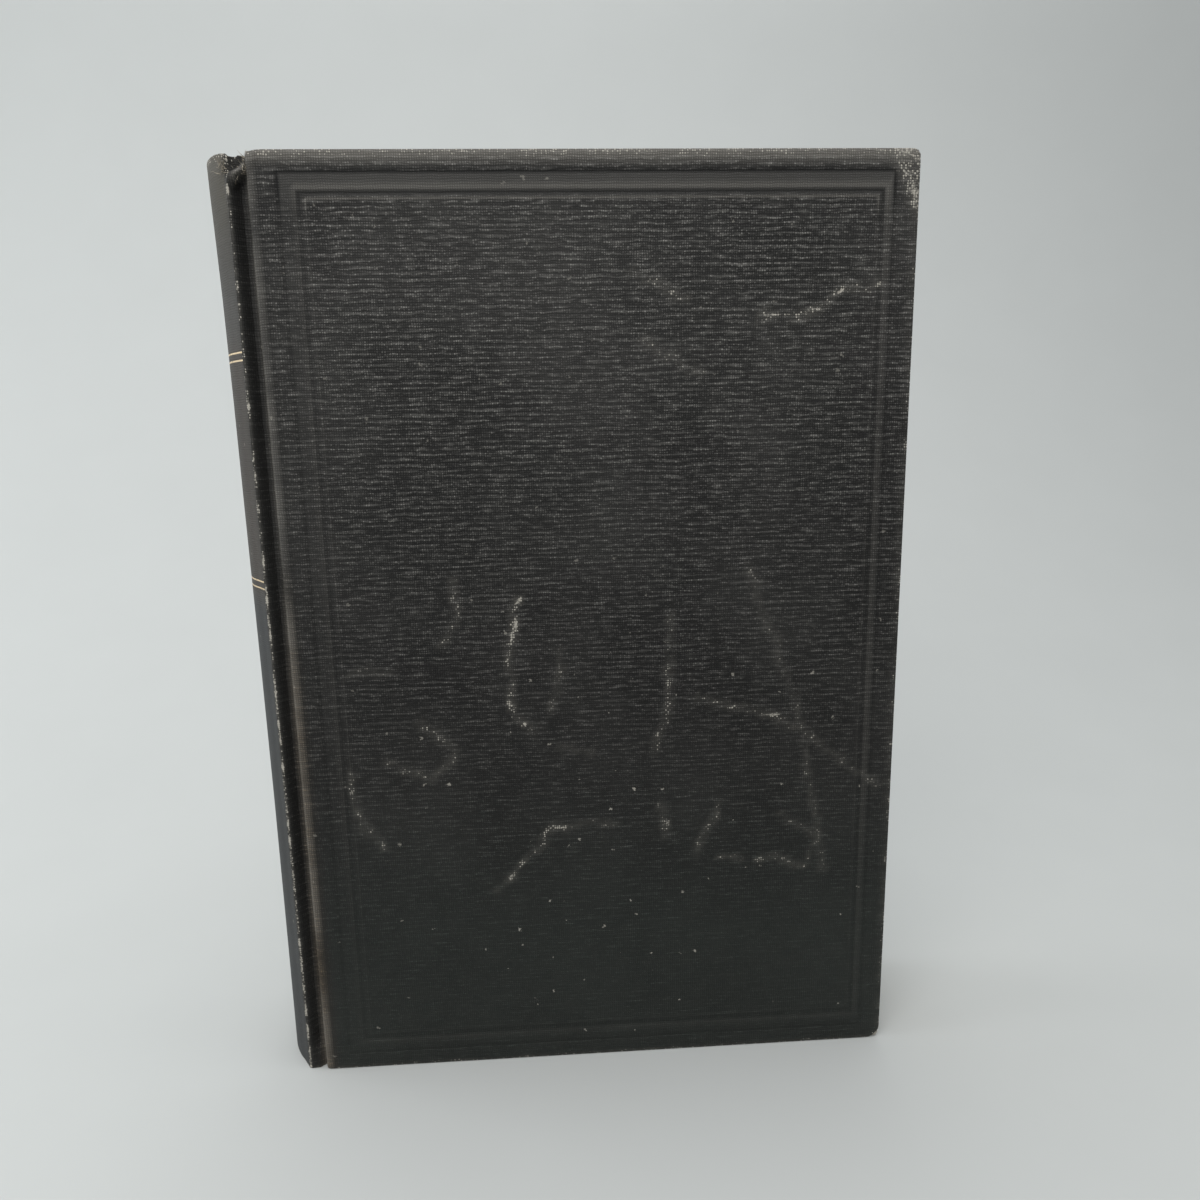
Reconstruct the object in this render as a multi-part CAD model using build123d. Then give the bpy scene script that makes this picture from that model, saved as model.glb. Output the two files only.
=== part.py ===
from build123d import *
import math
import os

# A cloth-bound hardback book standing on its tail, closed.
# X runs from the spine to the fore-edge, Y through the thickness (the front cover faces -Y),
# Z from tail to head. The origin is the centre of the box that the book fills, at its base.
# All sizes are in millimetres.

# ---- covers ----
cover_height = 235.0        # tail to head, over the cloth
cover_width = 155.3         # joint side to fore-edge, over the cloth
board_thickness = 2.6
cloth = 0.4                 # bookcloth, one layer
turn_in = 15.0              # cloth folded over onto the inside of each board
corner_radius = 1.6         # outer corners at the fore-edge
cloth_edge_radius = 0.35    # where the cloth turns over the board's outer edge
tooling_insets = (4.8, 9.2)  # blind lines round the front cover, from its edges
tooling_width = 1.0
tooling_depth = 0.12

# ---- text block ----
block_thickness = 29.8
head_square = 3.2           # cover beyond the leaves at head and tail
fore_square = 3.5           # cover beyond the leaves at the fore-edge
fore_hollow = 6.0           # depth of the concave fore-edge
shoulder_height = 1.2       # the backed shoulder stands this far out of the leaves
shoulder_undercut = 0.15
flyleaf = 0.15
leaf_gap = 0.2              # air between flyleaf and pastedown when the cover is shut

# ---- endpapers and mull on the boards ----
pastedown = 0.15
pastedown_start = 0.6       # from the board's joint edge
mull = 0.2
mull_flange = 25.0          # width of the mull glued to each board
mull_short = 16.5           # the mull stops this far from the head and tail of the leaves

# ---- spine ----
joint_opening = 4.6         # from the spine's ridge to the board's edge, at the outside
ridge_drop = 0.9            # the ridge lies this far under the cover's face
spine_half_angle = 52.0     # the round of the spine, each side of its middle, degrees
ridge_turn = 2.5            # degrees before the ridge where the cloth leaves the round
ridge_reach = 1.1           # straight run of cloth to the ridge's corner
ridge_radius = 0.6
groove_foot = 1.2           # from the shoulder's tip to the foot of the groove's slope
groove_radius = 0.5
groove_clearance = 0.3      # between the groove's cloth and the flyleaf
joint_gap = 0.15            # between the groove's cloth and the cloth on the board's edge
inlay = 0.6
inlay_stop = 4.0            # degrees before the ridge where the card and turned-in cloth stop
lining = 0.2
lining_short = 2.0          # the lining stops this far from the head and tail of the leaves
hollow = 0.1                # slack of the hollow back, under the turned-in cloth
inner_stop = 2.0            # degrees before the ridge where mull, bands and lining stop
glue_line = 0.05

# ---- head and tail bands ----
band_tape = 11.0
bead_radius = 0.8
bead_inset = 0.4            # the bead's centre, inside the round of the leaves

# ---- layers through the thickness, from the middle plane outwards ----
half_block = block_thickness / 2
cover_inside = half_block + flyleaf + leaf_gap
board_inside = cover_inside + pastedown + cloth
board_outside = board_inside + board_thickness
cover_outside = board_outside + cloth

# ---- the round spine, from the cloth inwards ----
round_angle = math.radians(spine_half_angle)
inlay_half_angle = spine_half_angle - inlay_stop
inner_half_angle = spine_half_angle - inner_stop
spine_radius = (cover_outside - ridge_drop) / math.sin(round_angle)
inlay_outer = spine_radius - cloth - glue_line
inlay_inner = inlay_outer - inlay
turned_outer = inlay_inner - glue_line
turned_inner = turned_outer - cloth
lining_outer = turned_inner - hollow
lining_inner = lining_outer - lining
mull_outer = lining_inner - glue_line
mull_inner = mull_outer - mull
block_radius = mull_inner - glue_line

# ---- places along X ----
spine_rise = spine_radius * (1 - math.cos(round_angle))
fore_edge = (cover_width + joint_opening + spine_rise) / 2
joint_edge = fore_edge - cover_width
spine_x = joint_edge - joint_opening + spine_radius * math.cos(round_angle)
leaf_fore = fore_edge - fore_square
tip_y = half_block + shoulder_height
tip_x = spine_x - math.sqrt(block_radius**2 - tip_y**2)
root_x = tip_x + shoulder_undercut

# ---- places along Z ----
leaf_tail = head_square
leaf_head = cover_height - head_square


def slab(x_low, x_high, y_low, y_high, z_low, z_high):
    """A block between two corners."""
    size = (x_high - x_low, y_high - y_low, z_high - z_low)
    middle = ((x_low + x_high) / 2, (y_low + y_high) / 2, (z_low + z_high) / 2)
    return Pos(*middle) * Box(*size)


def round_sheet(inner, outer, half_angle, bottom, top):
    """A sheet curved about the spine's axis."""
    start = 180 - half_angle
    outside = CenterArc((spine_x, 0), outer, start, 2 * half_angle)
    inside = CenterArc((spine_x, 0), inner, start, 2 * half_angle)
    ends = [Line(outside @ 0, inside @ 0), Line(outside @ 1, inside @ 1)]
    section = make_face([outside, inside] + ends)
    return Pos(0, 0, bottom) * extrude(section, top - bottom)


def to_front(piece):
    """The same piece on the front side of the book."""
    return mirror(piece, about=Plane.XZ)


def make_text_block():
    """All the leaves: rounded and backed spine, shoulders, concave fore-edge."""
    back = ThreePointArc((tip_x, -tip_y), (spine_x - block_radius, 0), (tip_x, tip_y))
    top_side = Polyline((tip_x, tip_y), (root_x, half_block), (leaf_fore, half_block))
    hollow_edge = ThreePointArc(
        (leaf_fore, half_block), (leaf_fore - fore_hollow, 0), (leaf_fore, -half_block))
    low_side = Polyline((leaf_fore, -half_block), (root_x, -half_block), (tip_x, -tip_y))
    section = make_face([back, top_side, hollow_edge, low_side])
    return Pos(0, 0, leaf_tail) * extrude(section, leaf_head - leaf_tail)


def make_flyleaf():
    """The free endpaper, tipped on at the shoulder."""
    return slab(root_x, leaf_fore, half_block, half_block + flyleaf, leaf_tail, leaf_head)


def make_band():
    """Head band: a tape on the round of the leaves with a bead over their edge."""
    bead_z = leaf_head + glue_line + bead_radius
    tape = round_sheet(mull_inner, mull_outer, inner_half_angle, leaf_head - band_tape, bead_z)
    bead_path = block_radius - bead_inset
    bead = Plane.XZ * Pos(bead_path, bead_z) * Circle(bead_radius)
    ring = revolve(bead, Axis.Z, 2 * inner_half_angle)
    start = 180 - inner_half_angle
    return tape + Pos(spine_x, 0, 0) * Rot(0, 0, start) * ring


def make_spine_cloth():
    """The case's cloth over the spine and down into both joints, turned in at head and tail."""
    leave = math.radians(spine_half_angle - ridge_turn)
    centre_radius = spine_radius - cloth / 2
    floor_y = half_block + flyleaf + groove_clearance + cloth / 2
    off = (spine_x - centre_radius * math.cos(leave), centre_radius * math.sin(leave))
    ridge = (off[0] + ridge_reach * math.sin(leave), off[1] + ridge_reach * math.cos(leave))
    foot = (tip_x + groove_foot, floor_y)
    end = (joint_edge - joint_gap, floor_y)
    corners = FilletPolyline(off, ridge, foot, end, radius=(ridge_radius, groove_radius))
    degrees = math.degrees(leave)
    around = CenterArc((spine_x, 0), centre_radius, 180 - degrees, 2 * degrees)
    strips = trace(corners, cloth)
    section = trace(around, cloth) + strips + mirror(strips, about=Plane.XZ)
    piece = extrude(section, cover_height, dir=(0, 0, 1))
    for low, high in ((0, turn_in), (cover_height - turn_in, cover_height)):
        piece += round_sheet(turned_inner, turned_outer, inlay_half_angle, low, high)
    for low in (0, cover_height - cloth):
        cap_outer = spine_radius - cloth / 2
        piece += round_sheet(turned_inner, cap_outer, inlay_half_angle, low, low + cloth)
    return piece


def make_spine_inlay():
    """The card that stiffens the spine of the case."""
    return round_sheet(inlay_inner, inlay_outer, inlay_half_angle, cloth, cover_height - cloth)


def make_board():
    """The back cover's board."""
    board = slab(joint_edge + cloth, fore_edge - cloth, board_inside, board_outside,
                 cloth, cover_height - cloth)
    corners = board.edges().filter_by(Axis.Y).sort_by(Axis.X)[-2:]
    return fillet(corners, corner_radius - cloth)


def make_cover_cloth():
    """The cloth over the back board: its face, its edges and three turn-ins."""
    turned_face = board_inside - cloth
    wrap = slab(joint_edge, fore_edge, turned_face, cover_outside, 0, cover_height)
    wrap = fillet(wrap.edges().filter_by(Axis.Y).sort_by(Axis.X)[-2:], corner_radius)
    wrap = fillet(wrap.faces().sort_by(Axis.Y)[-1].edges(), cloth_edge_radius)
    pocket = slab(joint_edge, fore_edge - turn_in, turned_face, board_inside,
                  turn_in, cover_height - turn_in)
    return wrap - make_board() - pocket


def tooling_frame(inset):
    """One blind line round the cover, to be pressed into its face."""
    low = cover_outside - tooling_depth
    outside = slab(joint_edge + inset, fore_edge - inset, low, cover_outside,
                   inset, cover_height - inset)
    inner = inset + tooling_width
    inside = slab(joint_edge + inner, fore_edge - inner, low, cover_outside,
                  inner, cover_height - inner)
    return outside - inside


def make_mull_flange():
    """The mull glued to the inside of the board."""
    return slab(joint_edge + pastedown_start, joint_edge + mull_flange, board_inside - mull,
                board_inside, leaf_tail + mull_short, leaf_head - mull_short)


def make_pastedown():
    """The endpaper glued down over the board, the turn-ins and the mull."""
    left = joint_edge + pastedown_start
    right = leaf_fore
    sheet = slab(left, right, cover_inside, board_inside, leaf_tail, leaf_head)
    window_right = fore_edge - turn_in
    low_z = turn_in
    high_z = cover_height - turn_in
    window = slab(left, window_right, cover_inside, board_inside, low_z, high_z)
    frame = sheet - window
    frame -= slab(left, right, cover_inside + pastedown, board_inside, leaf_tail, leaf_head)
    mull_edge = joint_edge + mull_flange
    flat = slab(left, window_right, board_inside - pastedown, board_inside, low_z, high_z)
    flat -= make_mull_flange()
    low_mull = leaf_tail + mull_short
    high_mull = leaf_head - mull_short
    over_mull = slab(left, mull_edge + pastedown, board_inside - mull - pastedown, board_inside,
                     low_mull - pastedown, high_mull + pastedown)
    over_mull -= make_mull_flange()
    steps = slab(left, window_right, cover_inside, board_inside, low_z, high_z)
    steps -= slab(left, window_right - pastedown, cover_inside, board_inside,
                  low_z + pastedown, high_z - pastedown)
    return frame + flat + over_mull + steps


spine_mull = round_sheet(mull_inner, mull_outer, inner_half_angle,
                         leaf_tail + mull_short, leaf_head - mull_short)
spine_lining = round_sheet(lining_inner, lining_outer, inner_half_angle,
                           leaf_tail + lining_short, leaf_head - lining_short)
head_band = make_band()
tail_band = mirror(head_band, about=Plane.XY.offset(cover_height / 2))
front_cover_cloth = to_front(make_cover_cloth())
for inset in tooling_insets:
    front_cover_cloth -= to_front(tooling_frame(inset))

nodes = {
    "text_block": make_text_block(),
    "front_flyleaf": to_front(make_flyleaf()),
    "back_flyleaf": make_flyleaf(),
    "spine_mull": spine_mull,
    "spine_lining": spine_lining,
    "head_band": head_band,
    "tail_band": tail_band,
    "spine_inlay": make_spine_inlay(),
    "spine_cloth": make_spine_cloth(),
    "front_board": to_front(make_board()),
    "front_cover_cloth": front_cover_cloth,
    "front_mull_flange": to_front(make_mull_flange()),
    "front_pastedown": to_front(make_pastedown()),
    "back_board": make_board(),
    "back_cover_cloth": make_cover_cloth(),
    "back_mull_flange": make_mull_flange(),
    "back_pastedown": make_pastedown(),
}

os.makedirs("parts", exist_ok=True)
for name, piece in nodes.items():
    export_step(piece, f"parts/{name}.step")
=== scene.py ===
"""Looks of an old cloth-bound hardback book that stands on its tail.

One sheet of black slubbed cloth is cut flat and folded round the spine, the two pressed joints and
the boards. Inside it are the leaves, bands, linings and endpapers. Lengths are worked in
millimetres and written to the meshes in metres.
"""

import logging
import math
import random
from dataclasses import dataclass, field
from enum import Enum
from typing import Sequence

import bmesh
import bpy
import numpy as np
from mathutils import Matrix, Vector, noise


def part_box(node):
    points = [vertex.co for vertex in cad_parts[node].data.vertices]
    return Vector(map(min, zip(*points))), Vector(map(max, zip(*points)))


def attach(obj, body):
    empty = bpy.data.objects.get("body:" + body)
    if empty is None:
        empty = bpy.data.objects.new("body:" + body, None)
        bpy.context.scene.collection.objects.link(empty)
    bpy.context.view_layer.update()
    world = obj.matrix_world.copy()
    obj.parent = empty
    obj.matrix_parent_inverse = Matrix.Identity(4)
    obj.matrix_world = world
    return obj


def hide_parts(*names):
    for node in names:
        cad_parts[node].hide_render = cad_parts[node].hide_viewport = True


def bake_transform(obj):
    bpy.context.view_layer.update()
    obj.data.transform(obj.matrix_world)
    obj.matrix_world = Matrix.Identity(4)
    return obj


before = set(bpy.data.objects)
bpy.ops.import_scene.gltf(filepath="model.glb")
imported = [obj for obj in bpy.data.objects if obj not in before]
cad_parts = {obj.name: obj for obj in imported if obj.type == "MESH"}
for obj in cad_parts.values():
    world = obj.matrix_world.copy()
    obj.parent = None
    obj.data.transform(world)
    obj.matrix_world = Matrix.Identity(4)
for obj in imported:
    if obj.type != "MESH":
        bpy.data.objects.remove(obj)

logging.basicConfig(level=logging.INFO, format="%(message)s")
log = logging.getLogger("hardback")

MM = 0.001
Socket = bpy.types.NodeSocket
Points = np.ndarray


class Side(Enum):
    """The two covers, with the direction of their faces along Y."""

    FRONT = -1
    BACK = 1

    @property
    def label(self) -> str:
        """The side's name as the pieces and bodies spell it."""
        return self.name.lower()


class Zone(Enum):
    """Stretches of the cloth's section, from the spine to the inside of the fore-edge."""

    SPINE = 0
    STRIP = 1
    JOINT_WALL = 2
    FACE = 3
    FORE_WALL = 4
    FORE_TURN = 5


class Fold(Enum):
    """Stretches of the cloth along the book's height."""

    TAIL_TURN = 0
    TAIL_EDGE = 1
    FACE = 2
    HEAD_EDGE = 3
    HEAD_TURN = 4


def smooth(value: Points, low: float, high: float) -> Points:
    """Rise smoothly from 0 at low to 1 at high.

    Args:
        value: Where to read the rise.
        low: Where the rise starts.
        high: Where it ends; below low, the rise runs the other way.

    Returns:
        The heights, from 0 to 1.
    """
    t = np.clip((np.asarray(value, float) - low) / (high - low), 0, 1)
    return t * t * (3 - 2 * t)


def bell(value: Points, middle: float, width: float) -> Points:
    """A smooth bump of height 1 at middle that is spent about two widths away."""
    return np.exp(-(((np.asarray(value, float) - middle) / width) ** 2))


def cloud(places: Points, size: float, seed: float = 0.0) -> Points:
    """Smooth noise from -1 to 1 at each row of places.

    Args:
        places: Rows of three numbers, in millimetres.
        size: The width of a patch, in millimetres.
        seed: Moves to another part of the noise.

    Returns:
        One value for each row.
    """
    scaled = places / size + seed
    return np.array([noise.noise(Vector(row)) for row in scaled])


@dataclass(frozen=True)
class BookFrame:
    """The book's main sizes in millimetres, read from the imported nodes."""

    height: float
    joint_edge: float
    fore_edge: float
    outside: float
    turned_face: float
    leaf_low: Vector
    leaf_high: Vector
    spine_left: float
    ridge_drop: float = 0.9
    half_angle: float = 52.0
    floor: float = 15.75

    @classmethod
    def read(cls) -> "BookFrame":
        """Measure the nodes of the frame.

        Returns:
            The sizes.
        """
        low, high = (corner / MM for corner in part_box("back_cover_cloth"))
        leaf_low, leaf_high = (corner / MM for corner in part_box("text_block"))
        spine_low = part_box("spine_cloth")[0] / MM
        return cls(
            height=high.z, joint_edge=low.x, fore_edge=high.x, outside=high.y,
            turned_face=low.y, leaf_low=leaf_low, leaf_high=leaf_high, spine_left=spine_low.x,
        )

    @property
    def spine_radius(self) -> float:
        """Outer radius of the round spine."""
        return (self.outside - self.ridge_drop) / math.sin(math.radians(self.half_angle))

    @property
    def spine_x(self) -> float:
        """Where the spine's axis stands along X."""
        return self.spine_left + self.spine_radius

    def spine_slump(self, x: Points, z: Points) -> Points:
        """How far the old spine has sunk in at each place, fading out at the shoulders.

        Args:
            x: Places along the book.
            z: Heights.

        Returns:
            Millimetres towards the leaves.
        """
        heights = [0.0, 30.0, 75.0, 112.0, 150.0, 180.0, 205.0, 220.0, 228.0, self.height]
        sunk = [1.1, 1.2, 1.3, 1.2, 0.98, 0.86, 0.62, 0.3, 0.1, 0.0]
        fade = smooth(x, self.joint_edge - 4.0, self.spine_left + 5.0)
        return np.interp(z, heights, sunk) * fade


# ---------------------------------------------------------------- shader nodes


class NodeSheet:
    """A node tree with short calls for the nodes that the finishes use."""

    def __init__(self, tree: bpy.types.NodeTree) -> None:
        """Keep the tree.

        Args:
            tree: A material's tree or a group's.
        """
        self.tree = tree

    def node(self, kind: str, **settings: object) -> bpy.types.Node:
        """Add a node and set its properties.

        Args:
            kind: The node's type name.
            settings: Values for its properties.

        Returns:
            The node.
        """
        made = self.tree.nodes.new(kind)
        for name, value in settings.items():
            setattr(made, name, value)
        return made

    def feed(self, socket: Socket, value: object) -> None:
        """Link a socket to another one, or set its own value.

        Args:
            socket: The input to feed.
            value: A socket or a plain value.
        """
        if isinstance(value, bpy.types.NodeSocket):
            self.tree.links.new(value, socket)
        else:
            socket.default_value = value

    def math(self, operation: str, *values: object, clamp: bool = False) -> Socket:
        """Add a Math node and return its output.

        Args:
            operation: What it works out.
            values: Its inputs, sockets or numbers.
            clamp: Whether to keep the result from 0 to 1.

        Returns:
            The result.
        """
        made = self.node("ShaderNodeMath", operation=operation, use_clamp=clamp)
        for socket, value in zip(made.inputs, values):
            self.feed(socket, value)
        return made.outputs[0]

    def vector(self, operation: str, *values: object) -> Socket:
        """Add a Vector Math node and return its vector.

        Args:
            operation: What it works out.
            values: Its inputs, sockets or vectors.

        Returns:
            The resulting vector.
        """
        made = self.node("ShaderNodeVectorMath", operation=operation)
        for socket, value in zip(made.inputs, values):
            self.feed(socket, value)
        return made.outputs[0]

    def noise(self, place: Socket, scale: tuple[float, float, float], detail: float = 2.0,
              rough: float = 0.5) -> Socket:
        """Add noise on a place that is first stretched.

        Args:
            place: The place, in millimetres.
            scale: Patches for each millimetre, along each axis.
            detail: Octaves of finer noise.
            rough: Strength of the finer noise.

        Returns:
            The noise's factor.
        """
        stretched = self.vector("MULTIPLY", place, scale)
        made = self.node("ShaderNodeTexNoise")
        self.feed(made.inputs["Vector"], stretched)
        made.inputs["Scale"].default_value = 1.0
        made.inputs["Detail"].default_value = detail
        made.inputs["Roughness"].default_value = rough
        return made.outputs["Fac"]

    def ramp(self, value: Socket, low: object, high: object, to_low: object = 0.0,
             to_high: object = 1.0) -> Socket:
        """Map a value smoothly from one span to another.

        Args:
            value: What to map.
            low: Where the span starts.
            high: Where it ends.
            to_low: The result at the start.
            to_high: The result at the end.

        Returns:
            The mapped value.
        """
        made = self.node("ShaderNodeMapRange", interpolation_type="SMOOTHSTEP")
        for name, given in (("Value", value), ("From Min", low), ("From Max", high),
                            ("To Min", to_low), ("To Max", to_high)):
            self.feed(made.inputs[name], given)
        return made.outputs["Result"]

    def mix(self, share: object, first: object, second: object, blend: str = "MIX") -> Socket:
        """Mix two colours.

        Args:
            share: How much of the second.
            first: The first colour.
            second: The second colour.
            blend: How they mix.

        Returns:
            The mixed colour.
        """
        made = self.node("ShaderNodeMix", data_type="RGBA", blend_type=blend)
        self.feed(made.inputs["Factor"], share)
        colours = [socket for socket in made.inputs if socket.type == "RGBA"]
        for socket, value in zip(colours, (first, second)):
            self.feed(socket, (*value, 1.0) if isinstance(value, tuple) else value)
        return next(socket for socket in made.outputs if socket.type == "RGBA")

    def split(self, place: Socket) -> tuple[Socket, Socket, Socket]:
        """The three parts of a vector.

        Args:
            place: The vector.

        Returns:
            Its X, Y and Z.
        """
        made = self.node("ShaderNodeSeparateXYZ")
        self.feed(made.inputs[0], place)
        return made.outputs[0], made.outputs[1], made.outputs[2]

    def attribute(self, name: str, as_colour: bool = False) -> Socket:
        """Read a piece's own attribute."""
        made = self.node("ShaderNodeAttribute", attribute_name=name)
        return made.outputs["Color" if as_colour else "Fac"]

    def vector_attribute(self, name: str) -> Socket:
        """Read a piece's own vector attribute."""
        return self.node("ShaderNodeAttribute", attribute_name=name).outputs["Vector"]

    def place_mm(self) -> Socket:
        """Object coordinates, turned from metres to millimetres."""
        coordinates = self.node("ShaderNodeTexCoord")
        return self.vector("MULTIPLY", coordinates.outputs["Object"], (1 / MM,) * 3)

    def bend(self, place: Socket, scale: float, reach: float) -> Socket:
        """Move places about a little, so that straight patterns wander.

        Args:
            place: The place, in millimetres.
            scale: Bends for each millimetre.
            reach: How far a place moves, in millimetres.

        Returns:
            The bent place.
        """
        made = self.node("ShaderNodeTexNoise")
        self.feed(made.inputs["Vector"], place)
        made.inputs["Scale"].default_value = scale
        made.inputs["Detail"].default_value = 1.0
        off = self.vector("SUBTRACT", made.outputs["Color"], (0.5, 0.5, 0.5))
        return self.vector("ADD", place, self.vector("MULTIPLY", off, (2 * reach,) * 3))

    def even_vector(self, value: Socket) -> Socket:
        """One number as a vector with three equal parts.

        Args:
            value: The number.

        Returns:
            The vector.
        """
        made = self.node("ShaderNodeCombineXYZ")
        for socket in made.inputs:
            self.feed(socket, value)
        return made.outputs[0]

    def use(self, group: bpy.types.NodeTree, **values: object) -> bpy.types.Node:
        """Place a node group and feed its named inputs (underscores stand for spaces).

        Args:
            group: The group's tree.
            values: What each input gets.

        Returns:
            The group's node.
        """
        made = self.node("ShaderNodeGroup")
        made.node_tree = group
        for name, value in values.items():
            self.feed(made.inputs[name.replace("_", " ")], value)
        return made


class EffectGroup:
    """A shader node group with named inputs and outputs, built once and used by many finishes."""

    name: str = ""
    inputs: dict[str, tuple[str, float]] = {}
    outputs: tuple[str, ...] = ()

    @classmethod
    def tree(cls) -> bpy.types.NodeTree:
        """The group's tree, built on first use.

        Returns:
            The tree.
        """
        found = bpy.data.node_groups.get(cls.name)
        if found:
            return found
        tree = bpy.data.node_groups.new(cls.name, "ShaderNodeTree")
        for name, (kind, start) in cls.inputs.items():
            made = tree.interface.new_socket(name, in_out="INPUT", socket_type=kind)
            if kind == "NodeSocketFloat":
                made.default_value = start
        for name in cls.outputs:
            tree.interface.new_socket(name, in_out="OUTPUT", socket_type="NodeSocketFloat")
        sheet = NodeSheet(tree)
        entry, leave = sheet.node("NodeGroupInput"), sheet.node("NodeGroupOutput")
        for name, socket in cls.draw(sheet, entry.outputs).items():
            sheet.feed(leave.inputs[name], socket)
        return tree

    @classmethod
    def draw(cls, sheet: NodeSheet, given: bpy.types.NodeOutputs) -> dict[str, Socket]:
        """Draw the group's nodes and return a socket for each output."""
        raise NotImplementedError


class SlubbedWeave(EffectGroup):
    """Bookcloth with uneven cross ribs over a plain weave of single threads."""

    name = "slubbed_weave"
    inputs = {
        "Place": ("NodeSocketVector", 0.0),
        "Rib Pitch": ("NodeSocketFloat", 1.3),
        "Thread Pitch": ("NodeSocketFloat", 0.56),
        "Rib Share": ("NodeSocketFloat", 1.0),
    }
    outputs = ("Height", "Rib", "Thread", "Knot")

    @classmethod
    def draw(cls, sheet: NodeSheet, given: bpy.types.NodeOutputs) -> dict[str, Socket]:
        """Ribs wander and swell along their length; threads cross over and under.

        Args:
            sheet: The group's nodes.
            given: The group's input sockets.

        Returns:
            A socket for each output.
        """
        place = given["Place"]
        bent = sheet.bend(place, 0.3, 0.32)
        across, up, _ = sheet.split(bent)
        wander = sheet.noise(place, (0.05, 0.2, 0.0), 2.0)
        waver = sheet.math("MULTIPLY", sheet.math("SUBTRACT", wander, 0.5), 9.0)
        turns = sheet.math("DIVIDE", up, given["Rib Pitch"])
        phase = sheet.math("MULTIPLY_ADD", turns, math.tau, waver)
        wave = sheet.math("MULTIPLY_ADD", sheet.math("SINE", phase), 0.5, 0.5)
        swell = sheet.ramp(sheet.noise(place, (0.26, 0.8, 0.0), 3.0, 0.6), 0.36, 0.66)
        slub = sheet.ramp(sheet.noise(place, (0.17, 1.1, 0.0), 3.0, 0.65), 0.42, 0.74)
        rib = sheet.math("MULTIPLY", wave, sheet.math("MULTIPLY_ADD", swell, 0.62, 0.1))
        rib = sheet.math("MULTIPLY_ADD", slub, 0.45, rib)
        rib = sheet.math("MULTIPLY", rib, given["Rib Share"])
        step = sheet.math("DIVIDE", math.tau / 2, given["Thread Pitch"])
        warp = sheet.math("SINE", sheet.math("MULTIPLY", across, step))
        weft = sheet.math("SINE", sheet.math("MULTIPLY", up, step))
        thread = sheet.math("ABSOLUTE", sheet.math("MULTIPLY", warp, weft))
        pitch = sheet.even_vector(given["Thread Pitch"])
        cell = sheet.vector("FLOOR", sheet.vector("DIVIDE", bent, pitch))
        pick = sheet.node("ShaderNodeTexWhiteNoise", noise_dimensions="3D")
        sheet.feed(pick.inputs["Vector"], cell)
        chance = sheet.ramp(pick.outputs["Value"], 0.35, 1.0)
        knot = sheet.math("MULTIPLY", sheet.ramp(thread, 0.15, 0.75), chance)
        body = sheet.math("MULTIPLY_ADD", knot, 0.25, sheet.math("MULTIPLY", thread, 0.45))
        return {"Height": sheet.math("ADD", rib, body), "Rib": rib, "Thread": thread,
                "Knot": knot}


class RubbedWear(EffectGroup):
    """Where cloth is rubbed through: on the tops of the weave first."""

    name = "rubbed_wear"
    inputs = {
        "Place": ("NodeSocketVector", 0.0),
        "Rub": ("NodeSocketFloat", 0.0),
        "Grain": ("NodeSocketFloat", 0.5),
        "Soft": ("NodeSocketFloat", 0.22),
    }
    outputs = ("Mask", "Haze")

    @classmethod
    def draw(cls, sheet: NodeSheet, given: bpy.types.NodeOutputs) -> dict[str, Socket]:
        """A threshold that follows the rub, the weave's tops and fine noise.

        Args:
            sheet: The group's nodes.
            given: The group's input sockets.

        Returns:
            A socket for each output.
        """
        fine = sheet.noise(given["Place"], (1.7, 1.9, 1.7), 3.0, 0.65)
        broad = sheet.noise(given["Place"], (0.22, 0.3, 0.22), 2.0)
        grain = sheet.math("MULTIPLY_ADD", given["Grain"], 0.34, sheet.math("MULTIPLY", fine, 0.66))
        uneven = sheet.math("MULTIPLY_ADD", broad, 0.5, -0.25)
        reach = sheet.math("ADD", grain, uneven)
        height = sheet.math("ADD", reach, given["Rub"])
        top = sheet.math("ADD", 1.0, given["Soft"])
        haze = sheet.math("MULTIPLY", given["Rub"], sheet.ramp(broad, 0.3, 0.7, 0.5, 1.0))
        return {"Mask": sheet.ramp(height, 1.0, top), "Haze": haze}


class DustSpecks(EffectGroup):
    """Small chips and pale specks, and a faint uneven bloom of dust."""

    name = "dust_specks"
    inputs = {
        "Place": ("NodeSocketVector", 0.0),
        "Cell": ("NodeSocketFloat", 6.0),
        "Size": ("NodeSocketFloat", 0.3),
        "Share": ("NodeSocketFloat", 0.3),
    }
    outputs = ("Specks", "Bloom")

    @classmethod
    def draw(cls, sheet: NodeSheet, given: bpy.types.NodeOutputs) -> dict[str, Socket]:
        """One speck in some of the cells of a scattered net; the bloom is broad noise.

        Args:
            sheet: The group's nodes.
            given: The group's input sockets.

        Returns:
            A socket for each output.
        """
        bent = sheet.bend(given["Place"], 1.3, 0.8)
        net = sheet.node("ShaderNodeTexVoronoi", voronoi_dimensions="3D")
        scaled = sheet.vector("DIVIDE", bent, sheet.even_vector(given["Cell"]))
        sheet.feed(net.inputs["Vector"], scaled)
        net.inputs["Scale"].default_value = 1.0
        away = sheet.math("MULTIPLY", net.outputs["Distance"], given["Cell"])
        chance, size, _ = sheet.split(net.outputs["Color"])
        reach = sheet.math("MULTIPLY", given["Size"], sheet.math("MULTIPLY_ADD", size, 1.2, 0.3))
        dot = sheet.ramp(away, reach, sheet.math("MULTIPLY", reach, 0.5), 0.0, 1.0)
        kept = sheet.math("LESS_THAN", chance, given["Share"])
        bloom = sheet.noise(given["Place"], (0.028, 0.022, 0.028), 3.0, 0.6)
        return {"Specks": sheet.math("MULTIPLY", dot, kept), "Bloom": sheet.ramp(bloom, 0.35, 0.7)}


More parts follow.
